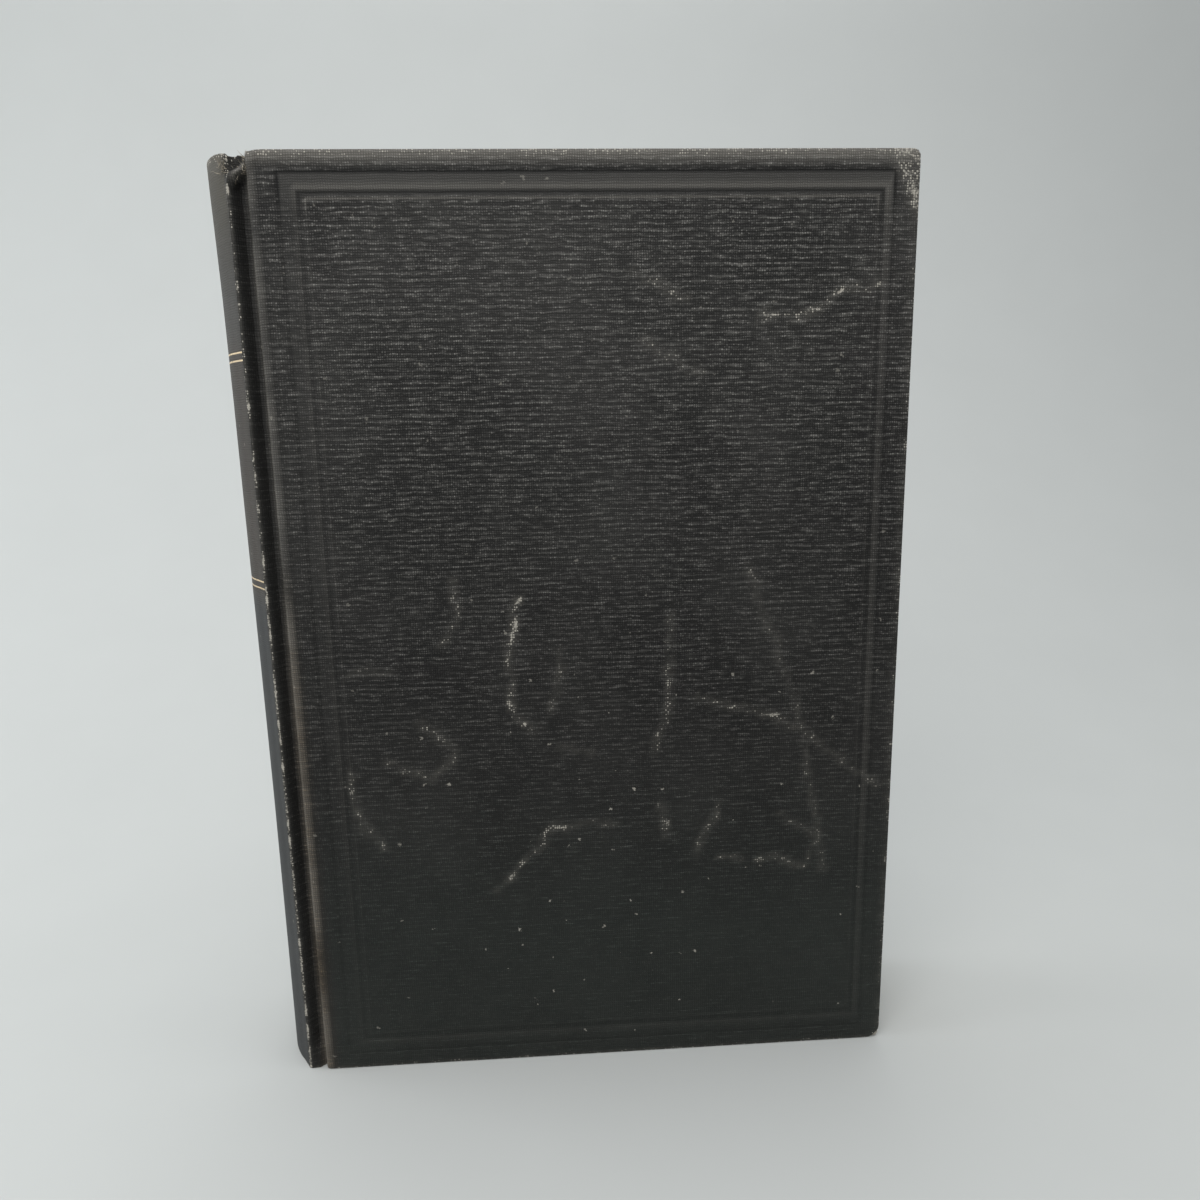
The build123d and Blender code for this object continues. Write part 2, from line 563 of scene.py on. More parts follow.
class PaperGrain(EffectGroup):
    """Soft mottle and fibres of paper or card."""

    name = "paper_grain"
    inputs = {"Place": ("NodeSocketVector", 0.0), "Scale": ("NodeSocketFloat", 1.0)}
    outputs = ("Height", "Mottle")

    @classmethod
    def draw(cls, sheet: NodeSheet, given: bpy.types.NodeOutputs) -> dict[str, Socket]:
        """Fine tooth for height, broad patches for tone.

        Args:
            sheet: The group's nodes.
            given: The group's input sockets.

        Returns:
            A socket for each output.
        """
        place = sheet.vector("MULTIPLY", given["Place"], sheet.even_vector(given["Scale"]))
        return {
            "Height": sheet.noise(place, (2.4, 2.4, 2.4), 3.0, 0.6),
            "Mottle": sheet.noise(place, (0.05, 0.05, 0.05), 4.0, 0.6),
        }


# ---------------------------------------------------------------- finishes


@dataclass(frozen=True)
class Finish:
    """A named material with a principled shader."""

    name: str
    slot: str
    roughness: float = 0.8
    specular: float = 0.4

    def material(self) -> bpy.types.Material:
        """The finish's material, built on first use.

        Returns:
            The material.
        """
        found = bpy.data.materials.get(self.name)
        if found:
            return found
        made = bpy.data.materials.new(self.name)
        made.use_nodes = True
        sheet = NodeSheet(made.node_tree)
        shader = made.node_tree.nodes["Principled BSDF"]
        shader.inputs["Roughness"].default_value = self.roughness
        shader.inputs["Specular IOR Level"].default_value = self.specular
        self.dress(sheet, shader)
        return made

    def dress(self, sheet: NodeSheet, shader: bpy.types.Node) -> None:
        """Draw what varies over the surface."""
        raise NotImplementedError

    def bump(self, sheet: NodeSheet, shader: bpy.types.Node, height: Socket, rise: float) -> None:
        """Feed the shader's normal from a height.

        Args:
            sheet: The material's nodes.
            shader: The principled shader.
            height: From 0 to 1.
            rise: What a height of 1 stands for, in millimetres.
        """
        made = sheet.node("ShaderNodeBump")
        made.inputs["Distance"].default_value = rise * MM
        made.inputs["Strength"].default_value = 1.0
        sheet.feed(made.inputs["Height"], height)
        sheet.feed(shader.inputs["Normal"], made.outputs["Normal"])


@dataclass(frozen=True)
class BookclothFinish(Finish):
    """Black slubbed bookcloth, with painted highlight on the weave's tops and painted shade between
    them, and rubbed pale on its high places.
    """

    # deep is the cloth's black, darkened as painted shade in the weave's hollows; lit is the
    # painted highlight on the rib tops, which the pressed cloth and the dust's bloom also mix
    # towards.
    deep: tuple[float, float, float] = (0.0062, 0.0060, 0.0058)
    lit: tuple[float, float, float] = (0.060, 0.058, 0.054)
    knot: tuple[float, float, float] = (0.20, 0.193, 0.180)
    bare: tuple[float, float, float] = (0.50, 0.47, 0.41)
    pale_and_highlight: tuple[float, float, float] = (0.29, 0.272, 0.243)
    gilt: tuple[float, float, float] = (0.66, 0.52, 0.33)
    rule_heights: tuple[float, ...] = (189.4, 191.2, 134.7, 136.5)
    rule_half_width: float = 0.15
    rise: float = 0.16

    def dress(self, sheet: NodeSheet, shader: bpy.types.Node) -> None:
        """Weave with painted highlight on its tops and painted shade between them, tint, painted
        shade and painted highlight of each part of the case, gilt rules and wear.

        Args:
            sheet: The material's nodes.
            shader: Its principled shader.
        """
        place = sheet.vector_attribute("flat_place")
        _, up, _ = sheet.split(place)
        calendered = sheet.attribute("calendered")
        open_weave = sheet.math("MULTIPLY_ADD", calendered, -0.85, 1.0)
        weave = sheet.use(SlubbedWeave.tree(), Place=place, Rib_Share=open_weave)
        wear = sheet.use(RubbedWear.tree(), Place=place, Rub=sheet.attribute("rub"),
                         Grain=weave.outputs["Knot"])
        dust = sheet.use(DustSpecks.tree(), Place=place, Share=0.5, Size=0.42, Cell=4.4)
        lift = sheet.math("MULTIPLY_ADD", weave.outputs["Rib"], 0.72,
                          sheet.math("MULTIPLY", weave.outputs["Thread"], 0.2))
        # Painted highlight on the tops of the ribs and threads, and painted shade in the hollows
        # between them.
        tops = sheet.ramp(lift, 0.12, 0.85)
        colour = sheet.mix(tops, self.deep, self.lit)
        knots = sheet.math("MULTIPLY", weave.outputs["Knot"],
                           sheet.math("MULTIPLY_ADD", tops, 0.85, 0.08))
        knots = sheet.math("MULTIPLY", knots, sheet.math("MULTIPLY_ADD", calendered, -0.7, 1.0))
        colour = sheet.mix(knots, colour, self.knot)
        flat = sheet.math("MULTIPLY", calendered, 0.36)
        colour = sheet.mix(flat, colour, self.lit)
        colour = sheet.mix(sheet.math("MULTIPLY", dust.outputs["Bloom"], 0.2), colour, self.lit)
        # The tint attribute carries painted shade and painted light as well as the case's colours.
        colour = sheet.mix(1.0, colour, sheet.attribute("tint", as_colour=True), "MULTIPLY")
        # Paler where the pale attribute says: painted highlight on the raised blind lines, the torn
        # fold's crest and the head edge, and paler cloth along the joint edge and at the rubbed
        # corner.
        pale_and_highlight = sheet.math("MULTIPLY", sheet.attribute("pale"),
                           sheet.math("MULTIPLY_ADD", weave.outputs["Thread"], 0.7, 0.5))
        colour = sheet.mix(pale_and_highlight, colour, self.pale_and_highlight)
        haze = sheet.math("MULTIPLY", wear.outputs["Haze"], 0.13)
        colour = sheet.mix(haze, colour, self.bare)
        gold = self._rules(sheet, place, up)
        colour = sheet.mix(gold, colour, self.gilt)
        speck = sheet.math("MULTIPLY", dust.outputs["Specks"], sheet.attribute("specked"))
        worn = sheet.math("MAXIMUM", sheet.math("MULTIPLY", speck, 0.6),
                          sheet.math("MULTIPLY", wear.outputs["Mask"], 0.85))
        colour = sheet.mix(worn, colour, self.bare)
        sheet.feed(shader.inputs["Base Color"], colour)
        rough = sheet.ramp(tops, 0.0, 1.0, self.roughness + 0.06, self.roughness - 0.08)
        rough = sheet.math("MULTIPLY_ADD", calendered, -0.1, rough)
        rough = sheet.math("MULTIPLY_ADD", gold, -0.2, rough)
        rough = sheet.math("MULTIPLY_ADD", worn, 0.2, rough)
        sheet.feed(shader.inputs["Roughness"], rough)
        sheet.feed(shader.inputs["Metallic"], sheet.math("MULTIPLY", gold, 0.7))
        self.bump(sheet, shader, weave.outputs["Height"], self.rise)

    def _rules(self, sheet: NodeSheet, place: Socket, up: Socket) -> Socket:
        """Gilt rules across the round of the spine, broken where the gold has gone.

        Args:
            sheet: The material's nodes.
            place: The place on the flat sheet.
            up: Its height.

        Returns:
            1 on the gold.
        """
        near = None
        for level in self.rule_heights:
            away = sheet.math("ABSOLUTE", sheet.math("SUBTRACT", up, level))
            near = away if near is None else sheet.math("MINIMUM", near, away)
        line = sheet.ramp(near, self.rule_half_width, self.rule_half_width + 0.08, 1.0, 0.0)
        round_part = sheet.ramp(sheet.attribute("round_part"), 0.45, 0.55)
        kept = sheet.ramp(sheet.noise(place, (1.1, 0.8, 1.1), 2.0), 0.3, 0.42)
        return sheet.math("MULTIPLY", sheet.math("MULTIPLY", line, round_part), kept)


@dataclass(frozen=True)
class ThreadFinish(Finish):
    """Bare cotton: frayed ends, rubbed threads and the sewn bands."""

    colour: tuple[float, float, float] = (0.5, 0.46, 0.38)
    soiled: tuple[float, float, float] = (0.2, 0.17, 0.13)
    pitch: float = 0.9

    def dress(self, sheet: NodeSheet, shader: bpy.types.Node) -> None:
        """Twisted fibre with soiling.

        Args:
            sheet: The material's nodes.
            shader: Its principled shader.
        """
        place = sheet.place_mm()
        fibre = sheet.noise(place, (self.pitch * 2,) * 3, 3.0, 0.7)
        soil = sheet.ramp(sheet.noise(place, (0.35,) * 3, 3.0, 0.6), 0.35, 0.65)
        colour = sheet.mix(soil, self.colour, self.soiled)
        colour = sheet.mix(sheet.math("MULTIPLY", fibre, 0.35), colour, self.soiled)
        sheet.feed(shader.inputs["Base Color"], colour)
        self.bump(sheet, shader, fibre, 0.06)


@dataclass(frozen=True)
class PaperFinish(Finish):
    """Aged paper, card or board."""

    colour: tuple[float, float, float] = (0.66, 0.58, 0.44)
    aged: tuple[float, float, float] = (0.42, 0.32, 0.2)
    scale: float = 1.0
    browning: float = 0.35
    leaf_lines: float = 0.0

    def dress(self, sheet: NodeSheet, shader: bpy.types.Node) -> None:
        """Mottle, browning and, on the leaves' edges, fine lines along each leaf.

        Args:
            sheet: The material's nodes.
            shader: Its principled shader.
        """
        place = sheet.place_mm()
        grain = sheet.use(PaperGrain.tree(), Place=place, Scale=self.scale)
        mottle = sheet.ramp(grain.outputs["Mottle"], 0.35, 0.7)
        share = sheet.math("MULTIPLY", mottle, self.browning)
        height = grain.outputs["Height"]
        if self.leaf_lines:
            lines = sheet.noise(place, (0.012, 9.0, 0.012), 3.0, 0.7)
            gathers = sheet.noise(place, (0.02, 1.6, 0.02), 2.0)
            dark = sheet.ramp(lines, 0.62, 0.4, 0.0, self.leaf_lines)
            dark = sheet.math("MULTIPLY_ADD", gathers, 0.35, dark)
            share = sheet.math("ADD", share, dark, clamp=True)
            height = sheet.math("MULTIPLY_ADD", lines, 0.8, sheet.math("MULTIPLY", height, 0.2))
        sheet.feed(shader.inputs["Base Color"], sheet.mix(share, self.colour, self.aged))
        rough = sheet.ramp(grain.outputs["Height"], 0.2, 0.8, self.roughness - 0.06,
                           self.roughness + 0.04)
        sheet.feed(shader.inputs["Roughness"], rough)
        self.bump(sheet, shader, height, 0.05)


@dataclass(frozen=True)
class StageFinish(Finish):
    """The plain pale surface that the book stands on."""

    colour: tuple[float, float, float] = (0.56, 0.575, 0.565)

    def dress(self, sheet: NodeSheet, shader: bpy.types.Node) -> None:
        """One plain tone with the least mottle.

        Args:
            sheet: The material's nodes.
            shader: Its principled shader.
        """
        mottle = sheet.noise(sheet.place_mm(), (0.02,) * 3, 3.0)
        darker = tuple(part * 0.96 for part in self.colour)
        sheet.feed(shader.inputs["Base Color"], sheet.mix(mottle, self.colour, darker))


BOOKCLOTH = BookclothFinish("black_bookcloth", "bookcloth", roughness=0.6, specular=0.24)
BARE_THREAD = ThreadFinish("bare_thread", "band_thread", roughness=0.9, specular=0.2)
MULL = ThreadFinish("mull_cloth", "mull", roughness=0.9, specular=0.2,
                    colour=(0.62, 0.57, 0.45), soiled=(0.42, 0.36, 0.26))
LEAVES = PaperFinish("leaf_edges", "leaves", roughness=0.85, specular=0.25,
                     colour=(0.60, 0.51, 0.37), aged=(0.30, 0.22, 0.13), leaf_lines=0.55)
ENDPAPER = PaperFinish("endpaper", "endpaper", roughness=0.8, specular=0.3,
                       colour=(0.58, 0.49, 0.36), aged=(0.36, 0.26, 0.15), browning=0.6)
BOARD = PaperFinish("grey_board", "board", colour=(0.33, 0.31, 0.27), aged=(0.2, 0.17, 0.13))
SPINE_CARD = PaperFinish("spine_card", "spine_card", colour=(0.34, 0.27, 0.18),
                         aged=(0.2, 0.15, 0.1))
KRAFT = PaperFinish("kraft_lining", "kraft", colour=(0.36, 0.25, 0.15), aged=(0.24, 0.15, 0.08))
STAGE = StageFinish("plain_stage", "", roughness=0.9, specular=0.2)


# ---------------------------------------------------------------- piece helpers


def new_piece(name: str, bm: bmesh.types.BMesh, finish: Finish) -> bpy.types.Object:
    """Turn a bmesh in millimetres into a shaded piece in metres.

    Args:
        name: The piece's name.
        bm: Its mesh, which is freed.
        finish: Its material.

    Returns:
        The new object, at the origin.
    """
    bmesh.ops.scale(bm, vec=(MM, MM, MM), verts=bm.verts)
    mesh = bpy.data.meshes.new(name)
    bm.to_mesh(mesh)
    bm.free()
    mesh.polygons.foreach_set("use_smooth", [True] * len(mesh.polygons))
    piece = bpy.data.objects.new(name, mesh)
    bpy.context.scene.collection.objects.link(piece)
    mesh.materials.append(finish.material())
    return piece


def flat_grid(bm: bmesh.types.BMesh, columns: int, rows: int) -> list[bmesh.types.BMVert]:
    """Add a flat sheet whose vertices stand at whole numbers, column along X and row along Y.

    Args:
        bm: The mesh to add to.
        columns: Vertices along X.
        rows: Vertices along Y.

    Returns:
        The new vertices.
    """
    made = bmesh.ops.create_grid(bm, x_segments=columns - 1, y_segments=rows - 1, size=0.5)
    bmesh.ops.translate(bm, vec=(0.5, 0.5, 0.0), verts=made["verts"])
    bmesh.ops.scale(bm, vec=(columns - 1, rows - 1, 1.0), verts=made["verts"])
    return made["verts"]


def edges_of(verts: Sequence[bmesh.types.BMVert]) -> list[bmesh.types.BMEdge]:
    """The edges at some vertices, each once and always in the same order."""
    return list(dict.fromkeys(edge for vert in verts for edge in vert.link_edges))


def thicken(piece: bpy.types.Object, thickness: float, offset: float = -1.0) -> None:
    """Give a sheet its thickness.

    Args:
        piece: The sheet.
        thickness: In millimetres.
        offset: -1 grows it away from its faces' normals, 0 to both sides.
    """
    solid = piece.modifiers.new("thickness", "SOLIDIFY")
    solid.thickness = thickness * MM
    solid.offset = offset


def shade_flat(piece: bpy.types.Object) -> None:
    """Show each face of a piece flat."""
    piece.data.polygons.foreach_set("use_smooth", [False] * len(piece.data.polygons))


# ---------------------------------------------------------------- the case's cloth


class ClothSection:
    """The outer line of the case in plan, walked from the spine to inside the fore-edge.

    A place is x along the book and a, the distance from the middle plane towards this side.
    """

    def __init__(self, start: tuple[float, float], heading: float) -> None:
        """Stand at the start.

        Args:
            start: The first place.
            heading: The walk's direction in degrees, 0 along +X and 90 along a.
        """
        self.places: list[tuple[float, float]] = [start]
        self.headings: list[float] = [heading]
        self.zones: list[Zone] = []
        self.heading = heading

    def line(self, zone: Zone, length: float, steps: int | Sequence[float] = 1) -> None:
        """Walk straight on.

        Args:
            zone: What this stretch is.
            length: How far.
            steps: How many equal steps, or the distances of the stops.
        """
        stops = steps if not isinstance(steps, int) else np.linspace(0, length, steps + 1)[1:]
        x, a = self.places[-1]
        turn = math.radians(self.heading)
        for stop in stops:
            self._stop(zone, (x + stop * math.cos(turn), a + stop * math.sin(turn)))

    def arc(self, zone: Zone, radius: float, turn: float, steps: int) -> None:
        """Walk round an arc.

        Args:
            zone: What this stretch is.
            radius: The arc's radius.
            turn: Degrees, positive to the left.
            steps: How many equal steps.
        """
        x, a = self.places[-1]
        start = math.radians(self.heading)
        side = math.copysign(1.0, turn)
        centre = (x - side * radius * math.sin(start), a + side * radius * math.cos(start))
        for step in range(1, steps + 1):
            self.heading += turn / steps
            now = math.radians(self.heading)
            self._stop(zone, (centre[0] + side * radius * math.sin(now),
                              centre[1] - side * radius * math.cos(now)))

    def _stop(self, zone: Zone, place: tuple[float, float]) -> None:
        """Note a stop and the zone of the step that led to it.

        Args:
            zone: What the step is.
            place: The stop.
        """
        self.places.append(place)
        self.headings.append(self.heading)
        self.zones.append(zone)


@dataclass
class CaseCloth:
    """The cloth of the case on one side, folded from a flat sheet.

    The front piece also carries the round of the spine, so the sheet's seam lies on the
    back ridge.
    """

    book: BookFrame
    side: Side
    thickness: float = 0.34
    edge_radius: float = 0.5
    board_edge_radius: float = 1.3
    ridge_radius: float = 0.8
    ridge_turn: float = 2.5
    ridge_run: float = 0.65
    flank_heading: float = -47.0
    groove_radius: float = 0.5
    pitch: float = 1.32
    spine_depth: float = 1.45
    strip_depth: float = 0.6
    strip_turn: float = 2.4
    corner_radius: float = 1.9
    crushed_corner: float = 3.4
    turn_first: float = 1.4
    turn_pitch: float = 1.36
    turn_lines: int = 11
    line_clearance: float = 0.3
    weld: float = 0.012
    blend_start: float = 3.7
    blend_end: float = 0.05
    rule_insets: dict[str, tuple[float, float, float]] = field(default_factory=lambda: {
        "joint": (6.9, 11.3, 12.9), "fore": (6.0, 8.6, 9.9), "end": (4.8, 9.3, 10.5)})
    rule_marks: tuple[float, float, float] = (5.0, 9.0, 10.3)

    @property
    def is_front(self) -> bool:
        """Whether this is the tooled and worn front."""
        return self.side is Side.FRONT

    def tool_stops(self, where: str) -> list[float]:
        """Insets from one edge at which the sheet needs a line for the blind tooling.

        Args:
            where: Which edge: joint, fore or end.

        Returns:
            The insets.
        """
        first, second, third = self.rule_insets[where]
        near = [first + d for d in (-0.7, -0.35, 0.0, 0.35, 0.7)]
        near += [second + d for d in (-0.75, -0.35, 0.0, 0.35)]
        return near + [third + d for d in (-0.35, 0.0, 0.35, 0.7)]

    def stops(self, length: float, low: str, high: str) -> list[float]:
        """Stops along a face: even ones, the tooling's and those of the turn-ins.

        Args:
            length: The face's length.
            low: The edge at its start.
            high: The edge at its end.

        Returns:
            The stops in order.
        """
        wanted = []
        if self.is_front:
            wanted += self.tool_stops(low) + [length - s for s in self.tool_stops(high)]
        offsets = self.turn_stops()
        kept = [s for s in wanted if 0 < s < length]
        even = list(np.arange(self.pitch, length, self.pitch))
        even = [s for s in even if offsets[-1] < s < length - offsets[-1]]
        near_joint = list(np.arange(1.2, offsets[-1] + 0.1, self.pitch))
        even += [length - s for s in offsets] + (offsets if low == "end" else near_joint)
        kept += [s for s in even if 0.2 < s < length - 0.2
                 and all(abs(s - k) > self.line_clearance for k in kept)]
        return sorted(kept)

    def turn_stops(self) -> list[float]:
        """Distances from an edge at which a turn-in has its lines."""
        return [self.turn_first + step * self.turn_pitch for step in range(self.turn_lines)]

    def section(self) -> ClothSection:
        """Walk the case's outer line on this side.

        Returns:
            The walked line.
        """
        book = self.book
        leave = book.half_angle - self.ridge_turn
        radius = book.spine_radius
        low_side = -leave if self.is_front else leave
        angle = math.radians(180 - low_side)
        start = (book.spine_x + radius * math.cos(angle), radius * math.sin(angle))
        walk = ClothSection(start, 90.0 - low_side)
        if self.is_front:
            walk.arc(Zone.SPINE, radius, -2 * leave, 34)
        walk.line(Zone.SPINE, self.ridge_run)
        walk.arc(Zone.STRIP, self.ridge_radius, self.flank_heading - walk.heading, 6)
        x, a = walk.places[-1]
        slope = math.radians(-self.flank_heading)
        drop = a - book.floor - self.groove_radius * (1 - math.cos(slope))
        walk.line(Zone.STRIP, drop / math.sin(slope), 3)
        walk.arc(Zone.STRIP, self.groove_radius, -self.flank_heading, 3)
        across = book.joint_edge - self.groove_radius - walk.places[-1][0]
        walk.line(Zone.STRIP, across, 2)
        walk.arc(Zone.STRIP, self.groove_radius, 90.0, 3)
        wall = book.outside - self.board_edge_radius - walk.places[-1][1]
        walk.line(Zone.JOINT_WALL, wall, 2)
        walk.arc(Zone.JOINT_WALL, self.board_edge_radius, -90.0, 6)
        width = book.fore_edge - self.edge_radius - walk.places[-1][0]
        shift = self.board_edge_radius
        face = [s - shift for s in self.stops(book.fore_edge - book.joint_edge, "joint", "fore")]
        walk.line(Zone.FACE, width, [s for s in face if 0.1 < s < width - 0.1] + [width])
        walk.arc(Zone.FORE_WALL, self.edge_radius, -90.0, 3)
        depth = walk.places[-1][1] - book.turned_face - self.edge_radius
        walk.line(Zone.FORE_WALL, depth, 2)
        walk.arc(Zone.FORE_WALL, self.edge_radius, -90.0, 3)
        turn = [s - self.edge_radius for s in self.turn_stops()]
        walk.line(Zone.FORE_TURN, turn[-1], turn)
        return walk

    def rows(self) -> list[tuple[Fold, float]]:
        """Stations along the height: which stretch, and how far along it.

        Returns:
            The stations in order.
        """
        edge = [(step / 3) for step in range(4)]
        turns = [s - self.edge_radius for s in self.turn_stops()]
        folds = edge + [1.5] + [2 + part for part in edge]
        rows = [(Fold.TAIL_TURN, t) for t in reversed(turns)]
        rows += [(Fold.TAIL_EDGE, q) for q in reversed(folds)]
        rows += [(Fold.FACE, z) for z in self.stops(self.book.height, "end", "end")]
        rows += [(Fold.HEAD_EDGE, q) for q in folds]
        return rows + [(Fold.HEAD_TURN, t) for t in turns]

    def depth(self, zone: Zone) -> float:
        """How thick the case is where the cloth turns in over its end.

        Args:
            zone: The stretch of the section.

        Returns:
            The thickness, 0 where nothing turns in.
        """
        return {
            Zone.SPINE: self.spine_depth, Zone.STRIP: self.strip_depth,
            Zone.JOINT_WALL: self.board_edge_radius, Zone.FORE_WALL: self.edge_radius,
            Zone.FACE: self.book.outside - self.book.turned_face,
        }.get(zone, 0.0)

    def fold(self, row: tuple[Fold, float], depth: Points, plain: Points) -> tuple[Points, Points]:
        """Where each column goes at one row.

        Args:
            row: The station along the height.
            depth: The case's thickness at each column.
            plain: Columns whose cloth stops at the edge's flat, without turning in.

        Returns:
            How far in from the outer line, and the height, for each column.
        """
        kind, value = row
        if kind is Fold.FACE:
            return np.zeros_like(depth), np.full_like(depth, value)
        radius = np.minimum(self.edge_radius, depth / 2)
        inner = np.where(plain, 0.0, radius)
        quarter = math.pi / 2
        if kind in (Fold.TAIL_TURN, Fold.HEAD_TURN):
            inward, below = depth, inner + value
        elif value <= 1:
            inward = radius * (1 - math.cos(value * quarter))
            below = radius * (1 - math.sin(value * quarter))
        elif value < 2:
            inward, below = radius + (depth - inner - radius) * (value - 1), 0 * depth
        else:
            inward = depth - inner + inner * math.sin((value - 2) * quarter)
            below = inner * (1 - math.cos((value - 2) * quarter))
        at_head = kind in (Fold.HEAD_EDGE, Fold.HEAD_TURN)
        return inward, (self.book.height - below) if at_head else below

    def inset(self, x: Points, z: Points) -> Points:
        """Distance in from the cover's edges, on a scale where the blind lines are rectangles.

        Args:
            x: Places along the book.
            z: Heights.

        Returns:
            The least of the three scaled distances.
        """
        book = self.book
        x, z = np.broadcast_arrays(x, z)
        marks = [0.0, *self.rule_marks, 60.0]
        sides = (("joint", x - book.joint_edge), ("fore", book.fore_edge - x),
                 ("end", np.minimum(z, book.height - z)))
        return np.minimum.reduce([
            np.interp(gap, [0.0, *self.rule_insets[name], 60.0], marks) for name, gap in sides])

    def tooling(self, inset: Points) -> Points:
        """Depth of the blind lines pressed into the cloth.

        Args:
            inset: Distance in, scaled.

        Returns:
            The depth, below 0 where a line is raised.
        """
        first, second, third = self.rule_marks
        sunk = 0.15 * bell(inset, first, 0.36) + 0.17 * bell(inset, second, 0.42)
        return sunk - 0.08 * bell(inset, third, 0.26)

    def make(self, dress: "CoverWear") -> bpy.types.Object:
        """Fold the sheet and dress it.

        Args:
            dress: The wear, tints, painted shade and painted highlights of this side.

        Returns:
            The cloth.
        """
        walk, rows = self.section(), self.rows()
        places = np.array(walk.places)
        turns = np.radians(walk.headings)
        inward = np.stack([np.sin(turns), -np.cos(turns)], axis=1)
        zones = [walk.zones[0], *walk.zones]
        depth = np.array([self.depth(zone) for zone in zones])
        plain = np.array([zone in (Zone.JOINT_WALL, Zone.FORE_WALL) for zone in zones])
        along = np.concatenate([[0], np.cumsum(np.linalg.norm(np.diff(places, axis=0), axis=1))])
        sunk_in, level = zip(*(self.fold(row, depth, plain) for row in rows))
        sunk_in, level = np.array(sunk_in), np.array(level)
        rise = np.concatenate([[0], np.cumsum(np.abs(np.diff(level[:, depth.argmax()]))
                                              + np.abs(np.diff(sunk_in[:, depth.argmax()])))])
        first_face = next(i for i, row in enumerate(rows) if row[0] is Fold.FACE)
        rise += rows[first_face][1] - rise[first_face]
        on_face = np.array([row[0] is Fold.FACE for row in rows])[:, None]
        faced = np.array([zone is Zone.FACE for zone in zones])[None, :]
        inset = np.where(on_face & faced, self.inset(places[None, :, 0], level), 0.0)
        press = self.tooling(inset) * (on_face & faced) if self.is_front else 0.0 * inset
        x = places[None, :, 0] + inward[None, :, 0] * (sunk_in + press)
        a = places[None, :, 1] + inward[None, :, 1] * (sunk_in + press)
        round_part = np.array([zone is Zone.SPINE for zone in zones])[None, :] + 0.0 * x
        x = x + self.book.spine_slump(x, level) * (x < self.book.joint_edge - 3.0)
        flat = np.stack([along[None, :] + 0 * x, rise[:, None] + 0 * x, 0 * x], axis=2)
        solid = np.stack([x, a, level], axis=2)
        solid = dress.crumple(solid)
        layers = dress.paint(solid, inset, round_part)
        bm = self._fold_sheet(solid, flat, layers, zones, rows)
        cut_area = sum(face.calc_area() for face in bm.faces) * MM * MM
        side = self.side.label
        piece = new_piece(f"{side}_case_cloth", bm, BOOKCLOTH)
        thicken(piece, self.thickness)
        node = f"{side}_cover_cloth"
        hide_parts(*([node, "spine_cloth"] if self.is_front else [node]))
        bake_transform(piece)
        return piece

    def _fold_sheet(self, solid: Points, flat: Points, layers: dict[str, Points],
                    zones: list[Zone], rows: list[tuple[Fold, float]]) -> bmesh.types.BMesh:
        """Move a flat grid's vertices to the folded places and trim what the maker cuts off.

        Args:
            solid: The folded places.
            flat: The places on the flat sheet.
            layers: What the shader reads at each vertex.
            zones: The zone of each column.
            rows: The stations along the height.

        Returns:
            The folded mesh.
        """
        count_rows, count_columns = solid.shape[:2]
        bm = bmesh.new()
        flat_grid(bm, count_columns, count_rows)
        flat_layer = bm.verts.layers.float_vector.new("flat_place")
        tint_layer = bm.verts.layers.float_color.new("tint")
        numbers = {name: bm.verts.layers.float.new(name) for name in layers if name != "tint"}
        cells = {vert: (round(vert.co.y), round(vert.co.x)) for vert in bm.verts}
        for vert, (row, column) in cells.items():
            x, a, z = solid[row, column]
            vert.co = (x, a * self.side.value, z)
            vert[flat_layer] = flat[row, column]
            red, green, blue = layers["tint"][row, column]
            vert[tint_layer] = (red, green, blue, 1.0)
            for name, layer in numbers.items():
                vert[layer] = float(layers[name][row, column])
        trimmed = []
        for face in bm.faces:
            row = min(cells[vert][0] for vert in face.verts)
            column = max(cells[vert][1] for vert in face.verts)
            if self._cut_away(face, rows, row, zones[column]):
                trimmed.append(face)
        bmesh.ops.delete(bm, geom=trimmed, context="FACES")
        self._round_corners(bm)
        bmesh.ops.remove_doubles(bm, verts=bm.verts, dist=self.weld)
        middle = [f for f in bm.faces if abs(f.normal.y) > 0.9]
        facing = sum(f.normal.y * f.calc_area() * (1 if abs(f.calc_center_median().y)
                     > self.book.outside - 1 else 0) for f in middle)
        if facing * self.side.value < 0:
            bmesh.ops.reverse_faces(bm, faces=bm.faces)
        return bm

    def _cut_away(self, face: bmesh.types.BMFace, rows: list[tuple[Fold, float]], row: int,
                  zone: Zone) -> bool:
        """Whether a cell of the sheet is cut away: slits at the joints and mitred corners.

        Args:
            face: The cell.
            rows: The stations along the height.
            row: The cell's lower row.
            zone: The cell's zone.

        Returns:
            True for a cell that goes.
        """
        kinds = {rows[row][0], rows[row + 1][0]}
        turned = kinds & {Fold.TAIL_TURN, Fold.HEAD_TURN}
        centre = face.calc_center_median()
        to_fore = self.book.fore_edge - centre.x
        to_end = min(centre.z, self.book.height - centre.z)
        if zone is Zone.FORE_TURN:
            return kinds != {Fold.FACE} or to_end < to_fore
        if zone is Zone.FACE:
            return bool(turned) and to_fore <= to_end
        if zone in (Zone.JOINT_WALL, Zone.FORE_WALL):
            return bool(turned)
        return zone is Zone.STRIP and bool(turned) and to_end > self.strip_turn

    def _round_corners(self, bm: bmesh.types.BMesh) -> None:
        """Round the fore-edge corners in plan; the front's tail corner is crushed.

        Args:
            bm: The folded mesh.
        """
        book = self.book
        for at_head in (False, True):
            crushed = self.is_front and not at_head
            radius = self.crushed_corner if crushed else self.corner_radius
            for vert in bm.verts:
                across = vert.co.x - (book.fore_edge - radius)
                up = (vert.co.z - (book.height - radius)) if at_head else radius - vert.co.z
                if across <= 0 or up <= 0:
                    continue
                scale = max(across, up) / math.hypot(across, up)
                vert.co.x -= across * (1 - scale)
                vert.co.z -= up * (1 - scale) * (1 if at_head else -1)
                if crushed:
                    share = min(across, up) / radius
                    vert.co.y *= 1 - 0.02 * share


